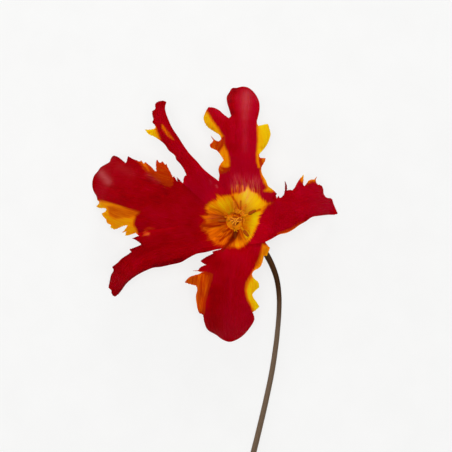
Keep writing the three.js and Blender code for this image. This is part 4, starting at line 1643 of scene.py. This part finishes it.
@dataclass
class Stamen:
    """A filament and the anther that stands on it."""

    number: int
    foot: float  # direction of the filament's foot, in degrees
    anther: float  # direction of the anther
    radius: float  # of the anther's middle from the axis
    height: float  # of the anther's middle
    lean: float  # of the anther from upright, in degrees
    ripeness: Ripeness = Ripeness.RIPE
    foot_radius: float = 4.0
    foot_height: float = RECEPTACLE_TOP + 0.15
    upright: float = 0.6  # share of its rise over which the filament leaves its foot upright
    length: float = 6.4
    thickness: float = 0.95
    gap: float = 0.15  # how deep the filament goes into the anther
    radii: Sequence[float] = (0.75, 0.72, 0.55, 0.36)  # of the filament
    filament_steps: int = 22
    filament_sides: int = 14
    rib_depth: float = 0.05
    unevenness: float = 0.1
    groove: float = 0.34  # depth and width of the grooves between the sacs
    slit: Pair = (0.13, 0.16)  # and of the slits that they open by
    clear: float = 0.2  # sine of the angle beside a slit that no groove reaches into
    oval: Pair = (0.9, 0.12)  # mean radius of the section, as a share of thickness, and how oval it is
    blunt: float = 3.4  # how bluntly the ends close
    narrowed: float = 0.12  # how much thinner the upper end is
    end: float = 0.03  # share of the thickness that the ends keep
    twist: float = 0.28  # radians from the anther's middle to its end
    bend: float = 0.28  # mm by which its middle may stand out
    rings: int = 30
    sides: int = 32
    grain: float = 0.075
    grain_gap: float = 0.24

    def direction(self) -> Rows:
        """Where the anther points: up and out."""
        lean = math.radians(self.lean)
        return math.sin(lean) * towards(self.anther) + np.array([0.0, 0.0, math.cos(lean)])

    def filament(self, tube: TubeTree, finish: Material) -> Piece:
        """Makes the filament, from the receptacle into the foot of its anther.

        Args:
            tube: The tree that grows a tube.
            finish: Its finish.

        Returns:
            The finished piece.
        """
        tip = around_axis(self.anther, self.radius, self.height)
        tip -= self.direction() * (self.length / 2 - self.gap)
        foot = around_axis(self.foot, self.foot_radius, self.foot_height)
        bend = foot.copy()
        bend[2] += self.upright * (tip[2] - foot[2])
        share = np.linspace(0, 1, self.filament_steps)[:, None]
        route = foot * (1 - share) ** 2 + bend * 2 * share * (1 - share) + tip * share ** 2
        girth = even_curve(self.radii, share[:, 0])
        piece = line_piece(f"filament_{self.number}_stalk", route, girth)
        tube.grow(piece, Sides=self.filament_sides, Ribs=3.0, Rib_Depth=self.rib_depth * MM,
                  Unevenness=self.unevenness * MM, Seed=self.foot, Material=finish)
        return settled(piece, "filament", f"filament_{self.number}")

    def sacs(self) -> Rows:
        """The anther's two grooved sacs, slightly bent and twisted.

        Returns:
            Rows of x, y and z in mm, in rings from one end to the other.
        """
        along = self.direction()
        aside = left_of(towards(self.anther))
        outward = np.cross(aside, along)
        middle = around_axis(self.anther, self.radius, self.height)
        turn = np.linspace(0, math.tau, self.sides, endpoint=False)
        groove = self.groove * np.exp(-(np.sin(turn - math.pi / 2) / self.groove) ** 2)
        groove *= np.abs(np.sin(turn)) > self.clear
        (depth, width), (mean, oval) = self.slit, self.oval
        section = mean + oval * np.cos(2 * turn) - groove - depth * np.exp(-(np.sin(turn) / width) ** 2)
        points = []
        for share in np.linspace(-1, 1, self.rings):
            taper = (1 - abs(share) ** self.blunt) ** 0.5 * (1 - self.narrowed * share)
            radius = self.thickness * max(taper, self.end) * section
            twist = self.twist * share + 0.5 * self.number
            bend = self.bend * (1 - share ** 2) * math.cos(2.1 * self.number)
            centre = middle + along * share * (self.length / 2) + outward * bend
            across = aside * math.cos(twist) + outward * math.sin(twist)
            through = np.cross(along, across)
            points.extend(centre + np.outer(radius * np.cos(turn), across)
                          + np.outer(radius * np.sin(turn), through))
        return np.array(points)

    def build(self, tube: TubeTree, grains: GrainTree, stalk: Material, sac: Material,
              pollen: Material) -> list[Piece]:
        """Makes both pieces and puts them in place of their solids.

        Args:
            tube: The tree that grows a tube.
            grains: The tree that scatters grains.
            stalk: Finish of the filament.
            sac: Finish of the anther.
            pollen: Finish of the grains on it.

        Returns:
            The filament and the anther.
        """
        faces = ring_faces(self.rings, self.sides)
        anther = mesh_piece(f"anther_{self.number}_sacs", self.sacs(), faces)
        grains.grow(anther, Grain_Size=self.grain * MM, Gap=self.grain_gap * MM, Lowest=0.0,
                    Seed=self.number, Flesh=sac, Grain=pollen)
        return [self.filament(tube, stalk), settled(anther, "anther", f"anther_{self.number}")]


# ---- studio


@dataclass
class Studio:
    """A pale floor, soft light from all around and an eye straight above the flower's face."""

    floor_radius: float = 4.0  # m
    floor_drop: float = 0.05  # mm
    floor_sides: int = 64
    farthest: float = 20.0  # m; nothing beyond it is seen
    sensor: float = 36.0  # mm
    sky: float = 0.32
    lamps: Sequence[tuple[str, Vector, float, float]] = (  # name, place, size in m and power in W
        ("overhead", Vector((0.0, 0.04, 1.0)), 0.5, 5.5),
        ("far_side", Vector((0.1, 1.1, 0.42)), 0.55, 5.0),
        ("left_side", Vector((-1.1, 0.35, 0.5)), 0.55, 2.3),
    )

    def floor(self) -> None:
        """Makes the floor."""
        turn = np.linspace(0, math.tau, self.floor_sides, endpoint=False)
        rim = np.stack([np.cos(turn), np.sin(turn), 0 * turn], 1) * self.floor_radius / MM
        rim[:, 2] = -self.floor_drop
        piece = mesh_piece("floor", rim, [range(len(rim))])
        piece.data.materials.append(FloorFinish().material())

    def light(self) -> None:
        """Makes the sky and the soft lamps."""
        scene = bpy.context.scene
        scene.world = bpy.data.worlds.new("soft_sky")
        scene.world.use_nodes = True
        tree = Tree(scene.world.node_tree)
        sky = tree.add("ShaderNodeBackground", {"Color": (1.0, 1.0, 1.0, 1.0), "Strength": self.sky})
        tree.add("ShaderNodeOutputWorld", {"Surface": sky.outputs[0]})
        scene.view_settings.view_transform = "Standard"
        for name, spot, size, power in self.lamps:
            lamp = bpy.data.lights.new(name, "AREA")
            lamp.shape = "DISK"
            lamp.size = size
            lamp.energy = power
            holder = in_scene(name, lamp)
            holder.location = spot
            holder.rotation_euler = (-spot).to_track_quat("-Z", "Y").to_euler()

    def eye(self) -> None:
        """Makes the camera."""
        camera = bpy.data.cameras.new("eye")
        camera.sensor_width = self.sensor
        camera.lens = self.sensor * (EYE_HEIGHT - FACE_HEIGHT) / (PLAN_SIDE * GRID_STEP)
        camera.clip_end = self.farthest
        holder = in_scene("eye", camera)
        holder.location = Vector((-FOOTPRINT_CENTRE[0], -FOOTPRINT_CENTRE[1], EYE_HEIGHT)) * MM
        bpy.context.scene.camera = holder

    def build(self) -> None:
        """Makes the whole studio."""
        self.floor()
        self.light()
        self.eye()


# ---- the flower's own shapes

TEPAL_TOP = Tepal(
    name="tepal_top", whorl=Whorl.OUTER, seed=1,
    midrib=(FLOWER_AXIS, (242, 195), (242.5, 155), (243, 120), (243, 87)),
    arch=(36.5, 36.5, 36.7, 37, 36.8, 35, 29.6, 18.3, 0), half_width=15, crown=4.5, tilt=0, fold=0,
    ruffle=(1.3, 4, 0.4), tones=(1, 0.88), fullness=0.2,
    fibres=(
        Stroke(((235, 187), (237, 179)), 2.4, 0.8), Stroke(((243, 190), (243, 182)), 3.4, 0.8),
        Stroke(((252, 190), (254, 183)), 3.4, 0.95), Stroke(((241, 215), (248, 192)), 5, 0.4),
    ),
    shades=(
        Stroke(((235, 91), (231, 98), (231, 106), (234, 114)), 2.2, 0.6),
        Stroke(((209, 112), (221, 123)), 2.6, 0.35), Stroke(((202, 114), (207, 126), (218, 135)), 3, 0.3),
        Stroke(((226, 124), (229, 146)), 2.8, 0.35), Stroke(((236, 118), (236, 150)), 2.4, 0.2),
        Stroke(((276, 194), (274, 198)), 0.9, 0.7),
    ),
    painted_lights=(Stroke(((238, 179), (257, 181)), 4, 0.5),),
    painted_sheens=(
        Stroke(((246, 95), (245.5, 108)), 2.5, 0.46), Stroke(((245, 108), (245, 118)), 2, 0.3),
        Stroke(((245, 118), (245, 150)), 1.7, 0.12), Stroke(((247, 186), (247.5, 200)), 1.8, 0.6),
    ),
    outline=(
        (232, 212), (227, 203), (222, 192), (219.1, 180.5), (219.7, 175.3), (218.8, 169.4), (220.4, 164.8),
        (224, 160.2), (221.7, 156.2), (217.1, 150.3), (210.5, 146.7), (210.2, 145.1), (212.5, 142.4),
        (213.5, 140.5), (210.8, 135.9), (215.8, 140.8), (219, 141.8), (221.7, 139.2), (220.4, 135.5),
        (214.5, 131.3), (207.9, 126.7), (203.9, 118.8), (205.9, 112.2), (208.5, 107.6), (213.1, 107.9),
        (218.4, 110.2), (223.6, 114.8), (228.9, 118.5), (231.5, 116.2), (229.6, 109.6), (227.3, 101.7),
        (227.2, 96.7), (229.9, 92.2), (232.2, 88.6), (236.8, 88.2), (242, 86.9), (247.3, 87.6),
        (251.7, 90.6), (256.1, 96), (258.8, 102.4), (259.1, 109.6), (257.8, 116.2), (256.5, 122.7),
        (258, 126.2), (261.7, 125.5), (265.7, 124.5), (267.9, 124.5), (268.8, 128), (270.2, 133.9),
        (269, 139.2), (266.3, 145.1), (262.4, 150.3), (258.8, 154.9), (259.8, 158.2), (265.4, 158.5),
        (264.2, 161.9), (261.5, 166.3), (260.9, 170), (262.4, 175.3), (265.7, 180.5), (267.9, 186.1),
        (272.3, 189.6), (276.5, 193.8), (275.6, 195.7), (276.7, 198), (275.7, 199.2), (276.2, 201),
        (272, 206), (263, 212), (252, 215.5), (243, 216),
    ),
    markings=(
        Marking(0.2, ((204, 107), (198, 119), (204, 131), (215, 136.5), (221, 140.5), (224.3, 135.9),
            (219, 127.3), (213.1, 120.1), (209, 113))),
        Marking(0.95, ((222, 139), (218, 138.5), (209, 133), (206, 141), (206, 149), (214, 153), (219, 153),
            (223.5, 147), (225, 141))),
        Marking(0.35, ((224.3, 135.9), (225.3, 144.4), (228.9, 152.3), (231, 162), (226, 164.5), (216, 164),
            (219, 160), (216, 154), (219, 150), (222.5, 145))),
        Marking(0.38, ((216, 158), (224, 157.5), (230, 156), (231, 167), (224, 170), (216, 170)), 2),
        Marking(0.86, ((216, 164), (222, 165), (226, 168), (231, 168.5), (227, 172), (222, 174.5),
            (216, 171)), 4),
        Marking(0.05, ((256.6, 124), (262, 121), (271, 119), (276, 134), (270, 149), (261.5, 156),
            (255.8, 154.3), (256.8, 141.1))),
        Marking(0.1, ((255.6, 152), (259, 153), (259.5, 160), (261, 168), (257.8, 168), (256, 162))),
        Marking(0.8, ((259.5, 153), (262, 154), (270, 157), (266, 165), (261, 166), (259.5, 160))),
        Marking(0.2, ((259.5, 170), (261.3, 178), (263.8, 184), (266.2, 187.5), (263.2, 190), (263.6, 192),
            (267, 192.4), (271, 192.6), (274.4, 191.8), (276, 187), (272, 182), (267, 176), (263, 168)),
            1.2),
        Marking(0.62, ((231, 193), (232, 186), (236, 181), (243, 179.5), (252, 181), (257.5, 185),
            (260, 189), (259, 193)), 5, -0.2),
        Marking(0.42, ((231, 194), (231.8, 187), (235.5, 183.5), (241, 184), (246, 186), (254, 187),
            (259, 189), (260, 194)), 6, 0.4),
        Marking(0.12, ((239.5, 194), (244, 190), (246.6, 186.5), (248.2, 181), (250, 186.5), (253, 190.5),
            (257, 194), (249, 200)), 0.8),
    ),
)
TEPAL_UPPER_LEFT = Tepal(
    name="tepal_upper_left", whorl=Whorl.INNER, seed=2,
    midrib=(FLOWER_AXIS, (213, 196), (194, 171), (176, 145), (164, 120), (160.5, 102)),
    arch=(38, 38, 38, 38.4, 38.6, 38.2, 36.6, 33.8, 30), half_width=6, crown=2, tilt=1.2, fold=0,
    ruffle=(0.5, 5, 1.2), groove=0.1, tones=(0.95, 0.6), fullness=0.18,
    shades=(Stroke(((188, 163), (196, 183)), 4, 0.22),),
    painted_sheens=(
        Stroke(((216.2, 185.5), (217, 187)), 0.6, 0.7), Stroke(((210, 180), (211, 184)), 0.7, 0.15),
    ),
    outline=(
        (227.5, 217), (219, 212.5), (207, 204), (193, 192), (183.5, 183.4), (184.9, 176.4), (186.9, 175.4),
        (183.5, 168), (180.2, 163.3), (176.5, 159.3), (175.5, 155.9), (168.8, 149.9), (165.4, 144.6),
        (160.8, 140.5), (154.7, 136.5), (148.7, 133.8), (145, 129.5), (150, 129.9), (155.6, 128.5),
        (155.6, 125.9), (152.5, 122.1), (153.7, 119.8), (152.8, 115.8), (152.4, 111.4), (155.4, 109.1),
        (155.7, 103.7), (158.1, 102), (162.8, 101), (166.1, 102), (164.8, 107.1), (165.1, 111.1),
        (168.1, 119.8), (172.1, 128.5), (177.5, 136.5), (183.5, 145.9), (189.5, 154.1), (196.6, 161.5),
        (203.2, 169.1), (210.5, 175.3), (218, 181), (224, 188), (230, 200), (234.5, 210.5),
    ),
    markings=(
        Marking(0.1, ((141, 127), (150, 127), (156, 126.5), (158, 132), (161.5, 140.5), (154, 140),
            (147, 137))),
        Marking(0.3, ((161, 124.3), (163.6, 125.2), (168.3, 131.3), (174.6, 140.2), (172.5, 140.4),
            (165.8, 134.7), (161.8, 129)), 1.6, 0.5),
    ),
)
TEPAL_LEFT = Tepal(
    name="tepal_left", whorl=Whorl.OUTER, seed=3,
    midrib=(FLOWER_AXIS, (205, 215), (170, 204), (135, 193), (92, 184)),
    arch=(36.4, 36.4, 36.6, 36.9, 36.8, 35.6, 31.2, 20, -0.1), half_width=19, crown=4, tilt=0, fold=0,
    ruffle=(1.4, 4, 2), tones=(0.58, 0.56),
    painted_sheens=(
        Stroke(((102, 174), (108.5, 181.5)), 2, 0.85), Stroke(((213, 220.5), (226, 220)), 2.4, 0.35),
        Stroke(((120, 167), (132, 174)), 2.5, 0.1), Stroke(((147, 175), (158, 182)), 1.4, 0.15),
    ),
    shades=(Stroke(((148, 179), (168, 192)), 3, 0.32), Stroke(((124, 197), (174, 201)), 4, 0.2)),
    painted_lights=(
        Stroke(((143.5, 164), (148, 169)), 2, 0.25), Stroke(((160, 164), (164, 167)), 2.2, 0.4),
        Stroke(((147, 230), (153, 229.5)), 1.6, 0.9),
    ),
    outline=(
        (228, 212.5), (214, 202), (200, 191), (189.5, 184), (184.2, 182), (182.4, 183.7), (180.3, 181.2),
        (178.8, 179.4), (177, 177.6), (177.4, 180), (178, 182.2), (176.4, 181), (175.3, 179.2),
        (174, 176.9), (172.7, 177.6), (169.2, 170.8), (167, 166.6), (166.3, 164.4), (165, 165.3),
        (162.3, 161.7), (161, 163.3), (158.8, 162.5), (157.3, 159.6), (156.4, 161.4), (156.4, 165),
        (156.8, 171.4), (155.3, 171.6), (151.5, 167.7), (148.4, 165.1), (145.4, 162.6), (143.9, 164.3),
        (141.2, 161), (139.2, 161.9), (137.1, 161), (132.5, 159.2), (128.3, 156.5), (126.5, 162.8),
        (125.6, 163.6), (121.2, 159.9), (117, 156.9), (113.6, 156), (111.6, 158.2), (110.1, 162.1),
        (105.5, 164.9), (100.9, 167.8), (98, 171.8), (94.6, 175.8), (92.9, 181), (92.8, 186.8),
        (94.6, 192.1), (96.9, 195.9), (98, 199.9), (99.8, 201.7), (99.2, 204), (96.9, 206.3), (98.6, 207.4),
        (105.5, 208), (107.2, 209.1), (105.5, 212), (102.1, 213.7), (103.8, 216.5), (106.5, 219.3),
        (107.4, 222.5), (111.6, 224.7), (110.9, 227.2), (114.7, 228.9), (118.7, 227.5), (124.4, 225.2),
        (128.5, 224.6), (125.6, 229.2), (122.1, 232.7), (126.5, 231.2), (125.6, 235.5), (130.4, 234.3),
        (135.9, 232.3), (138.2, 234.4), (143, 234.5), (152, 233), (170, 232.5), (190, 232), (208, 230),
        (225.5, 225),
    ),
    markings=(
        Marking(0.3, ((92, 199), (98.6, 199.4), (107.2, 201.1), (117.6, 204), (130.2, 208), (141.1, 211.4),
            (137.1, 216.6), (134.8, 222.3), (134.8, 224.6), (137.6, 229.8), (140, 238), (118, 238),
            (104, 228), (98, 216), (92, 207)), 1.4),
        Marking(0.68, ((107, 205.5), (114, 205), (126, 207.5), (141, 211.5), (137, 217), (128, 218.5),
            (116, 219), (109, 215.5)), 3),
        Marking(1.05, ((137.1, 161), (143, 169), (150, 176), (157, 181), (165, 186), (171, 187.5),
            (173, 184), (172.5, 177), (170, 162), (157, 154), (138, 154)), 5),
        Marking(0.74, ((136, 158), (143, 158), (147, 163.5), (150, 169.5), (150.5, 173), (147, 172),
            (143, 168), (139, 164)), 4, 0.3),
        Marking(1, ((144, 229), (149.5, 226.5), (156, 228.5), (153, 233), (146, 233)), 1.2, -0.05),
    ),
)
TEPAL_LOWER_LEFT = Tepal(
    name="tepal_lower_left", whorl=Whorl.INNER, seed=4,
    midrib=(FLOWER_AXIS, (210, 236), (180, 244.5), (150, 251), (128, 268), (114, 294)),
    arch=(38, 38, 38, 38.6, 38.6, 37, 31.5, 19.5, 2.5), half_width=11, crown=1.6, tilt=-2.4, fold=0,
    ruffle=(0.7, 4, 0.9), groove=0.3, tones=(0.5, 0.48),
    painted_lights=(Stroke(((143, 234), (148, 234)), 1.6, 0.9), Stroke(((122, 274), (148, 260)), 4.5, 0.45)),
    painted_sheens=(Stroke(((146, 234), (148.5, 234.5)), 1, 0.25),),
    shades=(
        Stroke(((120, 292), (131, 280), (144, 271)), 1.3, 0.28),
        Stroke(((154, 266), (170, 262.5), (181, 259.5)), 1.6, 0.35),
        Stroke(((208, 232), (222, 242)), 5, 0.15),
    ),
    outline=(
        (227.5, 218), (215, 219), (200, 222), (180, 226), (160, 229.5), (148, 231), (141, 232.5),
        (137.7, 234.6), (140.3, 235.9), (132.5, 238.3), (137.4, 240.6), (142.4, 244.5), (136.8, 247.1),
        (129.6, 249.6), (132.1, 251.9), (127.4, 255.3), (122.2, 258.7), (117.9, 263), (112.7, 266.9),
        (114, 269.9), (111.5, 275.1), (110.2, 281.1), (108.9, 287.6), (111.5, 289.9), (112.4, 294.2),
        (114.9, 296.2), (117.9, 294), (121.4, 289.7), (125.7, 283.7), (130.8, 279), (137.7, 274.2),
        (145.6, 270.2), (153.3, 267.2), (160.1, 266.5), (170.4, 264.3), (180.8, 261.8), (187.7, 257.9),
        (196.3, 253.6), (205.7, 251.8), (212.6, 250), (216.5, 249), (220.5, 248.4), (227.5, 242),
        (232.5, 235), (233.5, 229),
    ),
    markings=(
        Marking(0.58, ((142.5, 231.5), (148, 230.8), (150.5, 234), (148.5, 236.2), (143, 236)), 3, 0.6),
    ),
)
TEPAL_BOTTOM = Tepal(
    name="tepal_bottom", whorl=Whorl.OUTER, seed=5,
    midrib=(FLOWER_AXIS, (233, 250), (228.5, 280), (228.5, 310), (229, 341.5)),
    arch=(36.5, 36.5, 36.7, 37, 36.6, 34.2, 28.6, 17.3, 0), half_width=16, crown=4, tilt=0, fold=1.6,
    ruffle=(1.2, 4, 2.6), groove=0.8, tones=(0.62, 0.72), fullness=0.3,
    shades=(
        Stroke(((214, 258), (222, 280)), 4, 0.2), Stroke(((214, 290), (212, 310), (216, 328)), 4, 0.35),
        Stroke(((231, 246), (246, 246)), 3, 0.2), Stroke(((266.5, 250), (264, 256)), 1.6, 0.4),
        Stroke(((262, 255), (257, 265)), 1.5, 0.3),
    ),
    painted_lights=(
        Stroke(((254, 282), (249, 292), (254, 306)), 3.5, 0.85),
        Stroke(((202, 278), (205, 290), (203, 304)), 4, 0.9),
        Stroke(((250, 250), (243, 285), (238, 310), (238, 332)), 6, 0.5),
    ),
    outline=(
        (231, 229), (228, 236), (224.2, 243), (222.6, 247), (221.4, 249.4), (217, 250.8), (212.9, 251.8),
        (213.7, 253.8), (206.8, 257.2), (200.7, 261), (203.7, 263), (207, 264.9), (199.9, 268.3),
        (198.8, 269.9), (193, 270.7), (198.8, 271.2), (203.7, 271.8), (199.9, 274.1), (189.9, 277.5),
        (185, 282.1), (191.5, 284), (196.4, 285), (197.8, 289), (196.5, 295.9), (197.2, 303.5),
        (199.9, 312.7), (203, 314.2), (204.5, 320.6), (207.9, 329.1), (216, 334.1), (223.6, 339.5),
        (229.7, 341.4), (235.9, 339.5), (242.8, 334.9), (248.9, 328), (253.5, 320.4), (253.9, 318.1),
        (251.9, 311.9), (255, 310), (258.8, 306.6), (256.5, 302.8), (252.7, 297.4), (251.9, 294.3),
        (254.4, 290.8), (258.8, 286.9), (258, 282.7), (253.8, 278.9), (251.6, 275.2), (252.7, 271.4),
        (259.6, 266.8), (261.9, 262.2), (263.4, 255.3), (266.5, 255.3), (269.5, 248.3), (266.1, 244.2),
        (263, 240), (254, 234), (243, 229),
    ),
    markings=(
        Marking(0.86, ((203.7, 271.2), (196, 270), (183, 277), (181, 284), (193, 290), (193, 305),
            (197, 315), (204.5, 313.5), (205.3, 308.9), (206.8, 298.2), (209.8, 287.4), (212.1, 279.8),
            (212.9, 273.7)), 2.4),
        Marking(0.12, ((263.4, 244.6), (261.1, 253.8), (256.5, 263), (251.2, 272.9), (245.8, 282.1),
            (243.9, 289.7), (245.8, 298.2), (250.4, 307.3), (252.3, 311.9), (258, 312), (264, 305),
            (262, 290), (264, 272), (270, 258), (274, 246)), 2),
        Marking(0.5, ((252.5, 270.5), (245.8, 282.1), (243.9, 289.7), (245.8, 298.2), (250.4, 307.3),
            (251.6, 306), (248.8, 298), (247.8, 290), (249.6, 283), (255, 275)), 2, 0.9),
        Marking(0.38, ((262, 243), (259, 256), (254, 268), (258, 272), (264, 266), (268, 256), (272, 246)),
            2),
    ),
)
TEPAL_RIGHT = Tepal(
    name="tepal_right", whorl=Whorl.INNER, seed=6,
    midrib=(FLOWER_AXIS, (252, 226), (270, 221), (290, 211), (312, 204), (334, 204)),
    arch=(38, 38, 38, 38.4, 39.2, 38, 33, 22, 6), half_width=11, crown=1.5, tilt=-3.5, fold=0,
    ruffle=(0.9, 4, 0.2), tones=(0.68, 0.8),
    shades=(
        Stroke(((284.6, 182), (286, 190)), 0.9, 0.7), Stroke(((275.5, 199), (280, 196)), 0.8, 0.4),
        Stroke(((288, 206), (312, 202)), 5, 0.12), Stroke(((284, 194), (293, 197)), 3, 0.2),
    ),
    painted_lights=(Stroke(((318, 204), (330, 208)), 4.5, 0.35),),
    outline=(
        (237, 229), (241.5, 238), (247.5, 243), (256, 243.5), (265.1, 241.5), (272.4, 237.9),
        (279.3, 234.1), (286.6, 232.5), (293.6, 228.8), (298.5, 225.1), (305.7, 220.9), (311.8, 216.7),
        (319.8, 215.3), (327.6, 214.4), (335.4, 214.1), (337.3, 213.3), (335.4, 209.4), (333, 203.9),
        (331.2, 199.1), (326.3, 197.9), (323.3, 194.2), (322.6, 188.6), (321, 185.8), (317.4, 184.7),
        (315.5, 181.8), (316.5, 176.9), (313.9, 179.8), (311.4, 179.9), (309.4, 180.7), (306.8, 184),
        (304.4, 186.7), (302.7, 184.8), (303, 181), (303.6, 174.6), (300.8, 178.1), (297.3, 183.6),
        (294.8, 188.2), (292.4, 190.9), (289.4, 190.3), (286.7, 190.9), (286.9, 186), (284.9, 180.8),
        (285, 185.1), (284.9, 190.4), (284.6, 193.6), (282.7, 196.7), (279.7, 198.5), (278.5, 195.8),
        (277, 198.8), (275.4, 199.7), (271.7, 203), (265, 206), (256, 209), (247, 214.5),
    ),
    markings=(
        Marking(0.74, ((277, 233), (281, 231.6), (290, 228.1), (298, 223.3), (304, 221.2), (306, 224),
            (296, 233), (279, 239)), 2),
        Marking(0.3, ((299, 172), (307, 172), (305, 182), (301.5, 183), (299.5, 180))),
        Marking(0.5, ((305, 178), (313, 175), (319, 176), (317, 183), (312, 182.5), (307, 185.5)), 1.5),
    ),
)
TEPALS = (TEPAL_TOP, TEPAL_UPPER_LEFT, TEPAL_LEFT, TEPAL_LOWER_LEFT,
          TEPAL_BOTTOM, TEPAL_RIGHT)

STEM = Stem(
    route=(
        (235.6, 220.6, 21.5), (235.6, 220.6, 18.2), (236.4, 221.3, 13.2), (239.6, 224.2, 8),
        (246.5, 230.5, 4.2), (256, 240.5, 2.5), (265.5, 253, 1.8), (270.5, 262, 1.5), (274, 270.2, 1),
        (277, 280, 1), (279, 295, 1), (279.1, 310, 1), (277.6, 330, 1), (275.6, 347.5, 1), (272, 371, 1),
        (266, 400, 1), (258.5, 432, 1), (250.5, 464, 1), (243, 495, 1),
    ),
    radii=(1.8, 1.85, 1.85, 1.55, 1.42, 1.52, 1.58, 1.63, 1.68, 1.74, 1.8),
)

STAMENS = (
    Stamen(1, foot=30, anther=27, radius=10.4, height=34.5, lean=46),
    Stamen(2, foot=75, anther=57, radius=9, height=33.8, lean=38, ripeness=Ripeness.YOUNG),
    Stamen(3, foot=120, anther=96, radius=8.8, height=33.4, lean=40, ripeness=Ripeness.YOUNG),
    Stamen(4, foot=180, anther=180, radius=7.6, height=32.8, lean=46),
    Stamen(5, foot=250, anther=268, radius=8, height=33, lean=36, ripeness=Ripeness.SPENT),
    Stamen(6, foot=310, anther=309, radius=9.2, height=33.6, lean=42),
)

STALK_FINISH = SoftFinish("filament_orange", (0.86, 0.30, 0.003, 1), (1, 0.52, 0.008, 1),
                          (0.72, 0.20, 0.002, 1))
ANTHER_FINISHES = {  # of the sacs and of the pollen on them
    Ripeness.YOUNG: (
        SoftFinish("anther_golden", (0.72, 0.20, 0.004, 1), (0.96, 0.34, 0.010, 1), (0.84, 0.26, 0.006, 1)),
        SoftFinish("pollen_golden", (0.64, 0.19, 0.006, 1), (0.92, 0.40, 0.020, 1), (0.60, 0.16, 0.004, 1),
                   2500),
    ),
    Ripeness.RIPE: (
        SoftFinish("anther_brown", (0.30, 0.04, 0.002, 1), (0.54, 0.11, 0.005, 1), (0.42, 0.07, 0.003, 1)),
        SoftFinish("pollen", (0.30, 0.058, 0.004, 1), (0.60, 0.18, 0.014, 1), (0.26, 0.044, 0.003, 1), 2500),
    ),
    Ripeness.SPENT: (
        SoftFinish("anther_dark", (0.14, 0.012, 0.001, 1), (0.27, 0.036, 0.002, 1), (0.19, 0.020, 0.001, 1)),
        SoftFinish("pollen_dark", (0.15, 0.022, 0.002, 1), (0.32, 0.070, 0.006, 1), (0.12, 0.016, 0.001, 1),
                   2500),
    ),
}
PISTIL_FINISH = SoftFinish("pistil_flesh", (0.74, 0.24, 0.006, 1), (0.92, 0.36, 0.020, 1),
                           (0.82, 0.28, 0.008, 1), painted_hollow_shade=(0.36, 0.052, 0.001, 1))
FUZZ_FINISH = SoftFinish("stigma_fuzz", (0.84, 0.32, 0.020, 1), (0.96, 0.48, 0.070, 1),
                         (0.76, 0.26, 0.012, 1), 2500)


def report(piece: Piece) -> None:
    """Logs a piece's name and number of faces."""
    logger.info("%s: %d faces", piece.name, len(piece.data.polygons))


def main() -> None:
    """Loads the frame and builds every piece."""
    logging.basicConfig(level=logging.INFO, format="%(message)s", stream=sys.stdout)
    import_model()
    Studio().build()
    blade, tube, grains = BladeTree(), TubeTree(), GrainTree()
    face, back = PetalFinish("petal_face").material(), BackFinish("petal_back").material()
    for tepal in TEPALS:
        others = [plan_points(other.outline) for other in TEPALS if other is not tepal]
        report(tepal.build(others, blade, face, back))
    report(STEM.build(tube, StemFinish()))
    report(Pistil().build(tube, grains, PISTIL_FINISH.material(), FUZZ_FINISH.material()))
    stalk = STALK_FINISH.material()
    anthers = {ripeness: [finish.material() for finish in finishes]
               for ripeness, finishes in ANTHER_FINISHES.items()}
    for stamen in STAMENS:
        for piece in stamen.build(tube, grains, stalk, *anthers[stamen.ripeness]):
            report(piece)


if __name__ == "__main__":
    main()
